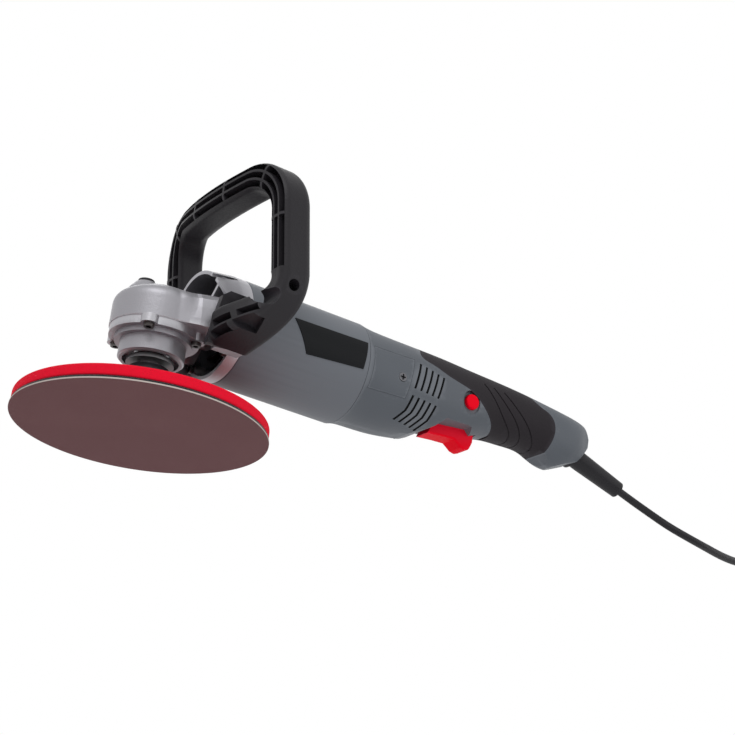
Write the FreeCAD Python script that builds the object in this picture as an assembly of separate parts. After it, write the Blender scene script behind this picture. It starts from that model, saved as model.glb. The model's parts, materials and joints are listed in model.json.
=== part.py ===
"""Rotary polisher with a looped front handle, a rear grip and a mains lead.

Frame: the origin is the centre of the abrasive face, +Z is the spindle axis, +X points along the
motor to the rear grip, and -Y is the side of the lock-on button. All sizes are in millimetres.
"""
import FreeCAD, Part
import math
import os

os.makedirs("parts", exist_ok=True)
V = FreeCAD.Vector
X_AXIS = V(1, 0, 0)
Y_AXIS = V(0, 1, 0)
Z_AXIS = V(0, 0, 1)

# ---- clearances ----
SLIP = 0.02            # radial play of a piece seated in a piece of the same body
RUN_FIT = 0.05         # radial play of a turning journal
SLIDE_FIT = 0.25       # play round a button
SEAM = 0.4             # visible gap between two mouldings
MESH_PLAY = 0.16       # share of the tooth pitch left as backlash

# ---- pad ----
PAD_R = 90.0
ABRASIVE_T = 1.0
HOOK_T = 1.5
HOOK_R = 89.6
FOAM_T = 9.0
FOAM_R = 89.0
PLATE_R = 62.0
PLATE_T = 2.5
PLATE_RIBS = 8
RIB_T = 2.5
RIB_H = 5.0
HUB_R = 16.0
HUB_TOP = 44.0
FLAT_LOW = 30.0        # spanner flats of the hub
FLAT_TOP = 38.0
FLAT_DEPTH = 3.0

# ---- spindle ----
THREAD_R = 7.0
THREAD_LOW = 18.0
SHOULDER_R = 9.0
SHOULDER_LOW = 46.0
JOURNAL_R = 6.0
TOP_JOURNAL_R = 4.0
DUST_RING_R = 17.0
DUST_RING_T = 3.0

# ---- bearing flange ----
COLLAR_R = 23.5
COLLAR_LOW = 50.0
STEP_R = 27.5
STEP_LOW = 62.5
FLANGE_LOW = 66.0
FLANGE_TOP = 72.0
FLANGE_R = 32.0
SCREW_CIRCLE = 30.5
SCREW_TURNS = (41, 124, 236, 319)
SCREW_LUG_R = 6.2
LOWER_BEARING_R = 16.0
LOWER_BEARING_T = 10.0
SCREW_HEAD_R = 3.6
SCREW_HEAD_H = 4.0
SCREW_R = 2.0
SCREW_DEPTH = 10.0
SCREW_SINK = 1.5

# ---- bevel gears, whose cones meet at the crossing of the two shafts ----
SHAFT_Z = 91.9
GEAR_TEETH = 41
PINION_TEETH = 10
GEAR_PITCH_R = 26.0
FACE_WIDTH = 8.0
ADDENDUM = 0.9
DEDENDUM = 1.4
FLANK_ANGLE = 22.0
GEAR_BACK = 77.0
LOCK_POCKETS = 8
LOCK_CIRCLE = 12.9
LOCK_PIN_R = 2.0
LOCK_TOP = 108.6
LOCK_R = 6.0
LOCK_CAP_H = 6.0
LOCK_TRAVEL = 3.0

# ---- gear case ----
CASE_R = 32.5
CASE_SIDE = 41.5
CASE_TOP = 105.0
CASE_WALL = 3.6
LUG_TOP = 98.0
RING_X = 54.0
BELL_WALL = 2.6
WEB_T = 3.0
CHEEK_LOW = 61.0
CHEEK_X = 30.0
CHEEK_Y = 30.0
HOOD_X = 27.0
RING_FRONT_X = 45.0
HEAD_SCREW_CIRCLE = 35.8
HEAD_SCREW_TURNS = (48, 132, 228, 312)
HEAD_SCREW_R = 1.8
HEAD_SCREW_HEAD_R = 3.2
HEAD_SCREW_HEAD_H = 3.0
HEAD_BOSS_R = 4.2
HEAD_BOSS_END = 57.0

# ---- motor ----
MOTOR_R = 39.4
MOTOR_WALL = 3.0
MOTOR_END = 155.0
SHAFT_R = 5.0
SHAFT_NOSE_R = 4.0
FRONT_BEARING_R = 15.0
FRONT_BEARING_X = 35.0
FRONT_BEARING_T = 9.0
FAN_X = 58.0
FAN_T = 10.0
FAN_R = 33.5
FAN_BLADES = 14
CORE_X = 84.0
CORE_LENGTH = 54.0
CORE_R = 23.0
AIR_GAP = 0.6
COIL_OVERHANG = 11.0
COMMUTATOR_X = 164.0
COMMUTATOR_LENGTH = 20.0
COMMUTATOR_R = 14.0
REAR_BEARING_X = 191.0
REAR_BEARING_T = 7.0
REAR_BEARING_R = 11.0
BRUSH_W = 6.5
BRUSH_H = 10.0
BRUSH_WALL = 1.2

# ---- rear shells ----
SHELL_WALL = 4.4
GRIP_T = 2.0
GROOVE_W = 1.0
GROOVE_DEPTH = 0.7
COVER_T = 2.2
VENT_PITCH = 5.9
VENT_W = 2.1
VENT_COLUMNS = 5
VENT_X = 203.5         # first slot of the upper row, at its top
LOW_VENT_X = 199.3
VENT_TOP = 106.0
VENT_TOP_DROP = 0.8    # each slot of the upper row starts this much lower than the one before
VENT_LOW = 84.4
VENT_SLANT = 4.0
LOW_VENT_TOP = 79.2
COVER_SCREW_X = 187.6
COVER_SCREW_Z = 89.2
COVER_SCREW_R = 1.6
COVER_SCREW_HEAD_R = 3.4
COVER_SCREW_SEAT = 34.2    # distance of the head's seat from the middle plane
BUTTON_R = 6.0
BUTTON_X = 260.0
BUTTON_Z = 94.4
BUTTON_DISH = 3.0      # how much wider the shallow dish round the button is
TRIGGER_W = 16.0
TRIGGER_GAP = 0.4
TRIGGER_PIVOT_X = 244.0
TRIGGER_PIVOT_Z = 81.5
TRIGGER_PIN_R = 2.0
CHEEK_T = 5.0          # thickness of the cheeks beside the trigger
PIN_REACH = TRIGGER_W / 2 + 4

SWITCH_X = 248.0
SWITCH_LENGTH = 36.0
SWITCH_W = 18.0
SWITCH_LOW = 88.5
SWITCH_H = 19.5

# ---- loop handle ----
LOOP_OUTER_Y = 87.2
LOOP_T = 20.5
LOOP_DEPTH = 24.5
LOOP_FOOT_X = 58.6     # middle of the depth at the foot, the bend and the crown: the loop leans forward
LOOP_BEND_X = 51.8
LOOP_CROWN_X = 36.0
LOOP_FOOT_Z = 114.0
LOOP_BEND_Z = 162.7
LOOP_TOP = 198.0
LOOP_CORNER_REACH = 31.5   # tangent length of the corner arc
LOOP_ROUND = 6.0
ROW_OFFSETS = (-6.3, 0.0, 6.3)   # rows of pockets across the thickness
ROW_W = 4.5
ROW_DEPTH = 10.0
CROSS_RIBS = 3                   # on each half of the loop
CROSS_RIB_PITCH = 41.0
CROSS_RIB_T = 2.0
ARM_POCKET_Y = 54.0
ARM_POCKET_Z = 70.0
ARM_POCKET_L = 12.5
ARM_POCKET_H = 6.0
ARM_POCKET_STEP = 14.5
ARM_POCKET_RISE = 7.0
ARM_POCKET_END = 31.0
ARM_SLOPE = 26.0
SIDE_HOLE_R = 4.2
SIDE_HOLE_X = 57.8
SIDE_HOLE_Z = 102.3
SIDE_HOLE_DEPTH = 11.0
MOUNT_PLATE_T = 5.5
BOLT_X = 43.0
BOLT_Z = 92.0
BOLT_R = 4.0
BOLT_HEAD_R = 6.5
BOLT_HEAD_H = 4.5

# ---- lead ----
CORD_R = 3.1
RELIEF_START = V(384, 0, 91.5)
RELIEF_END = V(432, 0, 77)
RELIEF_R0 = 8.0
RELIEF_R1 = 6.8
COIL_CENTRE = V(512, -166, 0)
COIL_MEAN_R = 34.0
COIL_TURNS_WIDE = 3
COIL_TURNS_HIGH = 4
TIE_T = 1.2
TIE_W = 12.0
TIE_TURN = -60.0


# ------------------------------------------------------------------ helpers
def save(name, shape):
    """Write one piece as its own STEP file."""
    shape.exportStep("parts/" + name + ".step")
    print(name, "solids", len(shape.Solids), "volume", round(shape.Volume, 1))


def rod(radius, length, base, axis=Z_AXIS):
    return Part.makeCylinder(radius, length, base, axis)


def tube(outer, inner, length, base, axis=Z_AXIS):
    return rod(outer, length, base, axis).cut(rod(inner, length, base, axis))


def turned(profile, origin, axis):
    """Turn a closed outline of points about an axis."""
    face = Part.Face(Part.makePolygon(profile + [profile[0]]))
    return face.revolve(origin, axis, 360)


def turned_z(steps):
    """Solid turned about the spindle axis; steps are (radius, z)."""
    points = [V(0, 0, steps[0][1])]
    points += [V(r, 0, z) for r, z in steps]
    points.append(V(0, 0, steps[-1][1]))
    return turned(points, V(0, 0, 0), Z_AXIS)


def turned_x(steps):
    """Solid turned about the motor axis; steps are (x, radius)."""
    points = [V(steps[0][0], 0, SHAFT_Z)]
    points += [V(x, 0, SHAFT_Z + r) for x, r in steps]
    points.append(V(steps[-1][0], 0, SHAFT_Z))
    return turned(points, V(0, 0, SHAFT_Z), X_AXIS)


def side_prism(outline, y_low, y_high):
    """Extrude a closed side outline of (x, z) points from y_low to y_high."""
    points = [V(x, y_low, z) for x, z in outline]
    face = Part.Face(Part.makePolygon(points + [points[0]]))
    return face.extrude(V(0, y_high - y_low, 0))


def block(x0, x1, y0, y1, z0, z1):
    return Part.makeBox(x1 - x0, y1 - y0, z1 - z0, V(x0, y0, z0))


def spline(points):
    curve = Part.BSplineCurve()
    curve.interpolate(points)
    return curve.toShape()


def rounded_rect(centre, u, v, width, height, radius):
    """Closed wire of a rounded rectangle; width runs along u and height along v."""
    a = width / 2 - radius
    b = height / 2 - radius
    k = radius * math.sqrt(0.5)
    edges = []
    corners = [(1, 1, 0), (-1, 1, 1), (-1, -1, 0), (1, -1, 1)]
    for su, sv, swap in corners:
        middle = centre + u * (su * a) + v * (sv * b)
        first = middle + (v * (sv * radius) if swap else u * (su * radius))
        last = middle + (u * (su * radius) if swap else v * (sv * radius))
        edges.append(Part.Arc(first, middle + u * (su * k) + v * (sv * k), last).toShape())
    wire_edges = []
    for i, edge in enumerate(edges):
        following = edges[(i + 1) % 4]
        wire_edges.append(edge)
        wire_edges.append(Part.makeLine(edge.Vertexes[-1].Point, following.Vertexes[0].Point))
    return Part.Wire(wire_edges)


def outward(solid):
    """The same solid with its faces pointing out."""
    if solid.Volume < 0:
        solid.reverse()
    return solid


def mirrored(shape):
    """The same piece on the other side of the middle plane."""
    return shape.mirror(V(0, 0, 0), Y_AXIS)


# ------------------------------------------------------------------ pad and spindle
HOOK_TOP = ABRASIVE_T + HOOK_T
FOAM_TOP = HOOK_TOP + FOAM_T
PLATE_TOP = FOAM_TOP + PLATE_T


def make_pad():
    save("abrasive_disc", rod(PAD_R, ABRASIVE_T, V(0, 0, 0)))
    save("hook_layer", rod(HOOK_R, HOOK_T, V(0, 0, ABRASIVE_T)))
    foam = rod(FOAM_R, FOAM_T, V(0, 0, HOOK_TOP))
    rim = [e for e in foam.Edges if abs(e.BoundBox.ZMin - FOAM_TOP) < 0.01 and e.Length > FOAM_R]
    save("foam_pad", foam.makeFillet(1.5, rim))


def make_backing_plate():
    plate = rod(PLATE_R, PLATE_T, V(0, 0, FOAM_TOP))
    hub_low = HUB_TOP - 3
    hub = turned_z([(HUB_R + 4, FOAM_TOP), (HUB_R, PLATE_TOP + RIB_H), (HUB_R, hub_low),
                    (HUB_R - 1.5, HUB_TOP)])
    body = plate.fuse(hub)
    for i in range(PLATE_RIBS):
        outline = [V(0, 0, PLATE_TOP), V(PLATE_R - 4, 0, PLATE_TOP), V(HUB_R + 2, 0, PLATE_TOP + RIB_H),
                   V(0, 0, PLATE_TOP + RIB_H)]
        face = Part.Face(Part.makePolygon(outline + [outline[0]]))
        face.translate(V(0, -RIB_T / 2, 0))
        rib = face.extrude(V(0, RIB_T, 0))
        rib.rotate(V(0, 0, 0), Z_AXIS, i * 360 / PLATE_RIBS)
        body = body.fuse(rib)
    # the bore takes the threaded end, which bottoms on a short shoulder
    body = body.cut(rod(THREAD_R + SLIP, HUB_TOP - THREAD_LOW + 0.3, V(0, 0, THREAD_LOW - 0.3)))
    for side in (-1, 1):
        flat = block(-HUB_R, HUB_R, 0, HUB_R, FLAT_LOW, FLAT_TOP)
        flat.translate(V(0, HUB_R - FLAT_DEPTH if side > 0 else FLAT_DEPTH - 2 * HUB_R, 0))
        body = body.cut(flat)
    save("backing_plate", body.removeSplitter())


BEARING_LOW = FLANGE_LOW - LOWER_BEARING_T
GEAR_SEAT_LOW = 74.0
GEAR_TOP = 86.0
CEILING_Z = 97.5
NEEDLE_R = 5.6
NEEDLE_T = 5.0
SPINDLE_TOP = CEILING_Z + NEEDLE_T - 0.5


def make_spindle():
    steps = [(THREAD_R - 1, THREAD_LOW), (THREAD_R, THREAD_LOW + 1), (THREAD_R, SHOULDER_LOW),
             (SHOULDER_R, SHOULDER_LOW), (SHOULDER_R, BEARING_LOW - 0.05), (JOURNAL_R, BEARING_LOW - 0.05),
             (JOURNAL_R, FLANGE_LOW + 0.1), (SHOULDER_R - 1, FLANGE_LOW + 0.1),
             (SHOULDER_R - 1, GEAR_SEAT_LOW), (JOURNAL_R, GEAR_SEAT_LOW), (JOURNAL_R, GEAR_TOP),
             (TOP_JOURNAL_R, GEAR_TOP), (TOP_JOURNAL_R, SPINDLE_TOP)]
    save("spindle", turned_z(steps))
    ring_low = COLLAR_LOW - 2.5
    save("dust_ring", tube(DUST_RING_R, SHOULDER_R + SLIP, DUST_RING_T, V(0, 0, ring_low)))


# ------------------------------------------------------------------ bevel gears
PITCH_ANGLE = math.atan(GEAR_TEETH / PINION_TEETH)
CONE_DISTANCE = GEAR_PITCH_R / math.sin(PITCH_ANGLE)
INNER_DISTANCE = CONE_DISTANCE - FACE_WIDTH
PINION_PITCH_R = GEAR_PITCH_R * PINION_TEETH / GEAR_TEETH
CIRCULAR_PITCH = 2 * math.pi * GEAR_PITCH_R / GEAR_TEETH
TOOTH_HALF = CIRCULAR_PITCH * (1 - MESH_PLAY) / 4


def cone_point(distance, angle, turn):
    """Point on a cone about -Z from the common apex, before the gear is placed."""
    r = distance * math.sin(angle)
    return V(r * math.cos(turn), r * math.sin(turn), SHAFT_Z - distance * math.cos(angle))


def tooth_wire(distance, pitch_angle, overlap):
    """Tooth outline at one cone distance; every outline shrinks towards the apex."""
    root = pitch_angle - math.atan((DEDENDUM + overlap) / CONE_DISTANCE)
    tip = pitch_angle + math.atan(ADDENDUM / CONE_DISTANCE)
    lean = math.tan(math.radians(FLANK_ANGLE))
    root_r = CONE_DISTANCE * math.sin(root)
    tip_r = CONE_DISTANCE * math.sin(tip)
    half_root = (TOOTH_HALF + (DEDENDUM + overlap) * lean) / root_r
    half_tip = (TOOTH_HALF - ADDENDUM * lean) / tip_r
    points = [cone_point(distance, root, -half_root), cone_point(distance, tip, -half_tip),
              cone_point(distance, tip, half_tip), cone_point(distance, root, half_root)]
    return Part.makePolygon(points + [points[0]])


def bevel_wheel(teeth, pitch_angle, pitch_r, phase, blank):
    """Toothed cone about the spindle axis with its apex on the motor axis; blank makes its body."""
    root = pitch_angle - math.atan(DEDENDUM / CONE_DISTANCE)
    outer = (CONE_DISTANCE * math.sin(root), SHAFT_Z - CONE_DISTANCE * math.cos(root))
    inner = (INNER_DISTANCE * math.sin(root), SHAFT_Z - INNER_DISTANCE * math.cos(root))
    wheel = turned_z(blank(outer, inner))
    tooth = outward(Part.makeLoft([tooth_wire(CONE_DISTANCE, pitch_angle, 0.25),
                                   tooth_wire(INNER_DISTANCE, pitch_angle, 0.25)], True, True))
    copies = []
    for i in range(teeth):
        one = tooth.copy()
        one.rotate(V(0, 0, 0), Z_AXIS, (i + phase) * 360 / teeth)
        copies.append(one)
    return wheel.multiFuse(copies)


def gear_blank(outer, inner):
    """Hub, web and rim of the driven wheel."""
    hub_r = THREAD_R + 2.5
    rim_r = inner[0] - 1.5
    web_top = GEAR_BACK + 3
    return [(hub_r, GEAR_SEAT_LOW + 0.05), (hub_r, GEAR_BACK), (outer[0] - 4, GEAR_BACK),
            (outer[0], outer[1] - 3), outer, inner, (rim_r, inner[1]), (rim_r, web_top), (hub_r, web_top),
            (hub_r, GEAR_TOP)]


def pinion_blank(outer, inner):
    return [(outer[0], outer[1] - 3), outer, inner]


def make_gears():
    gear = bevel_wheel(GEAR_TEETH, PITCH_ANGLE, GEAR_PITCH_R, 0.0, gear_blank)
    for i in range(LOCK_POCKETS):
        turn = math.radians(i * 360 / LOCK_POCKETS)
        place = V(LOCK_CIRCLE * math.cos(turn), LOCK_CIRCLE * math.sin(turn), GEAR_BACK - 1)
        gear = gear.cut(rod(LOCK_PIN_R + 0.4, 5, place))
    gear = gear.cut(rod(JOURNAL_R + SLIP, GEAR_TOP, V(0, 0, GEAR_SEAT_LOW - 1)))
    save("bevel_gear", gear)
    pinion = bevel_wheel(PINION_TEETH, math.pi / 2 - PITCH_ANGLE, PINION_PITCH_R, 0.5, pinion_blank)
    pinion = pinion.cut(rod(SHAFT_NOSE_R - 1 + SLIP, 60, V(0, 0, SHAFT_Z - 60)))
    pinion.rotate(V(0, 0, SHAFT_Z), Y_AXIS, -90)
    save("pinion", pinion)


# ------------------------------------------------------------------ bearings
def make_bearings():
    save("lower_bearing", tube(LOWER_BEARING_R, JOURNAL_R + RUN_FIT, LOWER_BEARING_T, V(0, 0, BEARING_LOW)))
    save("upper_bearing", tube(NEEDLE_R, TOP_JOURNAL_R + RUN_FIT, NEEDLE_T, V(0, 0, CEILING_Z)))
    save("front_bearing", tube(FRONT_BEARING_R, SHAFT_R + RUN_FIT, FRONT_BEARING_T,
                               V(FRONT_BEARING_X, 0, SHAFT_Z), X_AXIS))
    save("rear_bearing", tube(REAR_BEARING_R, SHAFT_NOSE_R + RUN_FIT, REAR_BEARING_T,
                              V(REAR_BEARING_X, 0, SHAFT_Z), X_AXIS))


# ------------------------------------------------------------------ bearing flange
def screw_places():
    places = []
    for degrees in SCREW_TURNS:
        turn = math.radians(degrees)
        places.append(V(SCREW_CIRCLE * math.cos(turn), SCREW_CIRCLE * math.sin(turn), 0))
    return places


def make_flange():
    steps = [(COLLAR_R - 1.2, COLLAR_LOW), (COLLAR_R, COLLAR_LOW + 1.2), (COLLAR_R, STEP_LOW),
             (STEP_R, STEP_LOW),
             (STEP_R, FLANGE_LOW), (FLANGE_R, FLANGE_LOW), (FLANGE_R, FLANGE_TOP)]
    flange = turned_z(steps)
    for place in screw_places():
        lug = rod(SCREW_LUG_R, FLANGE_TOP - FLANGE_LOW, place + V(0, 0, FLANGE_LOW))
        flange = flange.fuse(lug)
    flange = flange.cut(rod(LOWER_BEARING_R + SLIP, FLANGE_TOP, V(0, 0, BEARING_LOW)))
    flange = flange.cut(rod(LOWER_BEARING_R - 3, FLANGE_TOP, V(0, 0, COLLAR_LOW - 1)))
    flange = flange.cut(rod(COLLAR_R - 3.5, 4.5, V(0, 0, COLLAR_LOW)))
    head_low = FLANGE_LOW + SCREW_SINK - SCREW_HEAD_H
    for i, place in enumerate(screw_places()):
        sink = rod(SCREW_HEAD_R + 0.4, SCREW_HEAD_H, place + V(0, 0, head_low))
        hole = rod(SCREW_R + SLIP, FLANGE_TOP, place + V(0, 0, FLANGE_LOW))
        flange = flange.cut([sink, hole])
        save("flange_screw_" + str(i + 1), socket_screw(SCREW_HEAD_R, SCREW_HEAD_H, SCREW_R, SCREW_DEPTH,
                                                        place + V(0, 0, head_low), Z_AXIS))
    save("bearing_flange", flange.removeSplitter())


def hexagon(across, depth, base, axis):
    """Six-sided prism for a key socket."""
    radius = across / math.sqrt(3)
    points = [V(radius * math.cos(math.radians(60 * i)), radius * math.sin(math.radians(60 * i)), 0)
              for i in range(6)]
    prism = Part.Face(Part.makePolygon(points + [points[0]])).extrude(V(0, 0, depth))
    prism.Placement = FreeCAD.Placement(base, FreeCAD.Rotation(Z_AXIS, axis))
    return prism


def socket_screw(head_r, head_h, shank_r, length, base, axis):
    """Cap screw whose head face is at base and whose shank runs along axis."""
    screw = rod(head_r, head_h, base, axis).fuse(rod(shank_r, head_h + length, base, axis))
    return screw.cut(hexagon(head_r, head_h * 0.6, base, axis))


# ------------------------------------------------------------------ gear case
# half outlines across the case, as (y, z): the round nose, and the body with its side lugs behind it
NOSE_HALF = [(CASE_R, CHEEK_LOW), (CASE_R, 77), (30, 85), (27, 92), (24, 96), (21, 100), (15, 103.2),
             (7, CASE_TOP)]
REAR_HALF = [(CASE_SIDE, CHEEK_LOW), (CASE_SIDE, 77), (CASE_SIDE, 87), (CASE_SIDE, 93.5),
             (CASE_SIDE - 4, LUG_TOP), (26, 100.5), (15, 102.8), (7, CASE_TOP)]
# where the body widens from the nose to the lugs: x, and the share of the way
CASE_STATIONS = ((0, 0.0), (15, 0.65), (30, 1.0))


def case_section(x, share):
    """Outline across the case between the nose and the lugs."""
    half = []
    for (nose_y, nose_z), (rear_y, rear_z) in zip(NOSE_HALF, REAR_HALF):
        half.append((nose_y + (rear_y - nose_y) * share, nose_z + (rear_z - nose_z) * share))
    points = [V(x, y, z) for y, z in half] + [V(x, -y, z) for y, z in reversed(half)]
    return Part.makePolygon(points + [points[0]])


def case_body():
    """Round nose about the spindle, widening to the lugs and running back to the ring."""
    nose = turned_z(NOSE_HALF).common(block(-60, 0, -60, 60, 0, 200))
    flare = outward(Part.makeLoft([case_section(x, share) for x, share in CASE_STATIONS], True, True))
    rear_x = CASE_STATIONS[-1][0]
    rear = Part.Face(case_section(rear_x, 1.0)).extrude(V(RING_X - 3 - rear_x, 0, 0))
    return nose.fuse([flare, outward(rear)])


def make_gear_case():
    body = case_body()
    # only two cheeks beside the flange reach below its joint face
    body = body.cut(block(-60, CHEEK_X, -60, 60, 40, FLANGE_TOP))
    body = body.cut(block(-60, 60, -CHEEK_Y, CHEEK_Y, 40, FLANGE_TOP))
    # bell over the fan with an air mouth at the front
    bell = turned_x([(HOOD_X - 9, 35.0), (HOOD_X, 37.0), (RING_FRONT_X, MOTOR_R), (RING_X, MOTOR_R)])
    mouth = [(-40, 0), (RING_FRONT_X, 0), (RING_FRONT_X, 62), (RING_FRONT_X - 1, 78), (HOOD_X + 1, 112),
             (HOOD_X - 4, 150), (-40, 150)]
    case = body.fuse(bell.cut(side_prism(mouth, -60, 60)))
    # the fan chamber is open to the rear, and to the front over and under the gears
    rear = turned_x([(HOOD_X + 8, MOTOR_R - BELL_WALL - 1), (RING_FRONT_X, MOTOR_R - BELL_WALL),
                     (RING_X + 1, MOTOR_R - BELL_WALL)])
    case = case.cut(rear)
    hood = turned_x([(HOOD_X - 12, 32.0), (HOOD_X, 37.0 - BELL_WALL), (HOOD_X + 9, MOTOR_R - BELL_WALL - 1)])
    case = case.cut(hood.cut(block(-40, 80, -60, 60, 0, CASE_TOP - 2)))
    # boss that carries the front bearing, and four webs from it to the bell
    boss_x = HOOD_X + 5
    boss = rod(FRONT_BEARING_R + 3, FRONT_BEARING_X + FRONT_BEARING_T - boss_x, V(boss_x, 0, SHAFT_Z), X_AXIS)
    case = case.fuse(boss)
    for turn in (45, 135, 225, 315):
        web = block(boss_x, RING_FRONT_X - 1, -WEB_T / 2, WEB_T / 2, SHAFT_Z + FRONT_BEARING_R + 1,
                    SHAFT_Z + MOTOR_R - 1.2)
        web.rotate(V(0, 0, SHAFT_Z), X_AXIS, turn)
        case = case.fuse(web)
    # cavities
    case = case.cut(rod(CASE_R - CASE_WALL, CEILING_Z - FLANGE_TOP, V(0, 0, FLANGE_TOP)))
    case = case.cut(rod(PINION_PITCH_R + 4, boss_x + 1, V(0, 0, SHAFT_Z), X_AXIS))
    case = case.cut(rod(SHAFT_R + 2, boss_x + 20, V(0, 0, SHAFT_Z), X_AXIS))
    case = case.cut(rod(FRONT_BEARING_R + SLIP, 40, V(FRONT_BEARING_X, 0, SHAFT_Z), X_AXIS))
    case = case.cut(rod(NEEDLE_R + SLIP, NEEDLE_T, V(0, 0, CEILING_Z)))
    case = case.cut(rod(LOCK_PIN_R + SLIDE_FIT, 30, V(-LOCK_CIRCLE, 0, CEILING_Z - 2)))
    pocket_floor = LOCK_TOP - LOCK_CAP_H - LOCK_TRAVEL - 0.1
    case = case.cut(rod(LOCK_R + SLIDE_FIT, 20, V(-LOCK_CIRCLE, 0, pocket_floor)))
    for place in screw_places():
        case = case.cut(rod(SCREW_R + SLIP, SCREW_DEPTH, place + V(0, 0, FLANGE_TOP - 1)))
    for side in (-1, 1):
        hole = rod(BOLT_R + SLIP, 14, V(BOLT_X, side * (CASE_SIDE - 13), BOLT_Z), V(0, side, 0))
        case = case.cut(hole)
    for place in head_screw_places():
        case = case.fuse(ring_boss(place, RING_FRONT_X, RING_X))
        well = rod(HEAD_SCREW_HEAD_R + 0.4, RING_FRONT_X, place - V(RING_FRONT_X, 0, 0), X_AXIS)
        case = case.cut(well).cut(rod(HEAD_SCREW_R + SLIP, 20, place, X_AXIS))
    save("gear_case", main_solid(case.removeSplitter()))


def head_screw_places():
    """Where the four screws lie that join the gear case to the motor housing."""
    places = []
    for degrees in HEAD_SCREW_TURNS:
        turn = math.radians(degrees)
        places.append(V(RING_FRONT_X, HEAD_SCREW_CIRCLE * math.cos(turn),
                        SHAFT_Z + HEAD_SCREW_CIRCLE * math.sin(turn)))
    return places


def ring_boss(place, start, end):
    """Boss round a head screw, no further out than the ring."""
    boss = rod(HEAD_BOSS_R, end - start, V(start, place.y, place.z), X_AXIS)
    return boss.common(rod(MOTOR_R - 0.6, end - start, V(start, 0, SHAFT_Z), X_AXIS))


def make_head_screws():
    for i, place in enumerate(head_screw_places()):
        base = place - V(HEAD_SCREW_HEAD_H, 0, 0)
        length = HEAD_BOSS_END - 0.3 - RING_FRONT_X
        screw = socket_screw(HEAD_SCREW_HEAD_R, HEAD_SCREW_HEAD_H, HEAD_SCREW_R, length, base, X_AXIS)
        save("head_screw_" + str(i + 1), screw)


def make_spindle_lock():
    cap_low = LOCK_TOP - LOCK_CAP_H
    cap = rod(LOCK_R, LOCK_CAP_H, V(-LOCK_CIRCLE, 0, cap_low))
    cap = cap.makeFillet(0.8, [e for e in cap.Edges if e.BoundBox.ZMin > LOCK_TOP - 0.1 and e.Length > 20])
    pin_low = GEAR_BACK + 3 + LOCK_TRAVEL - 2.2
    pin = rod(LOCK_PIN_R, cap_low - pin_low, V(-LOCK_CIRCLE, 0, pin_low))
    save("spindle_lock_button", cap.fuse(pin))


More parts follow.
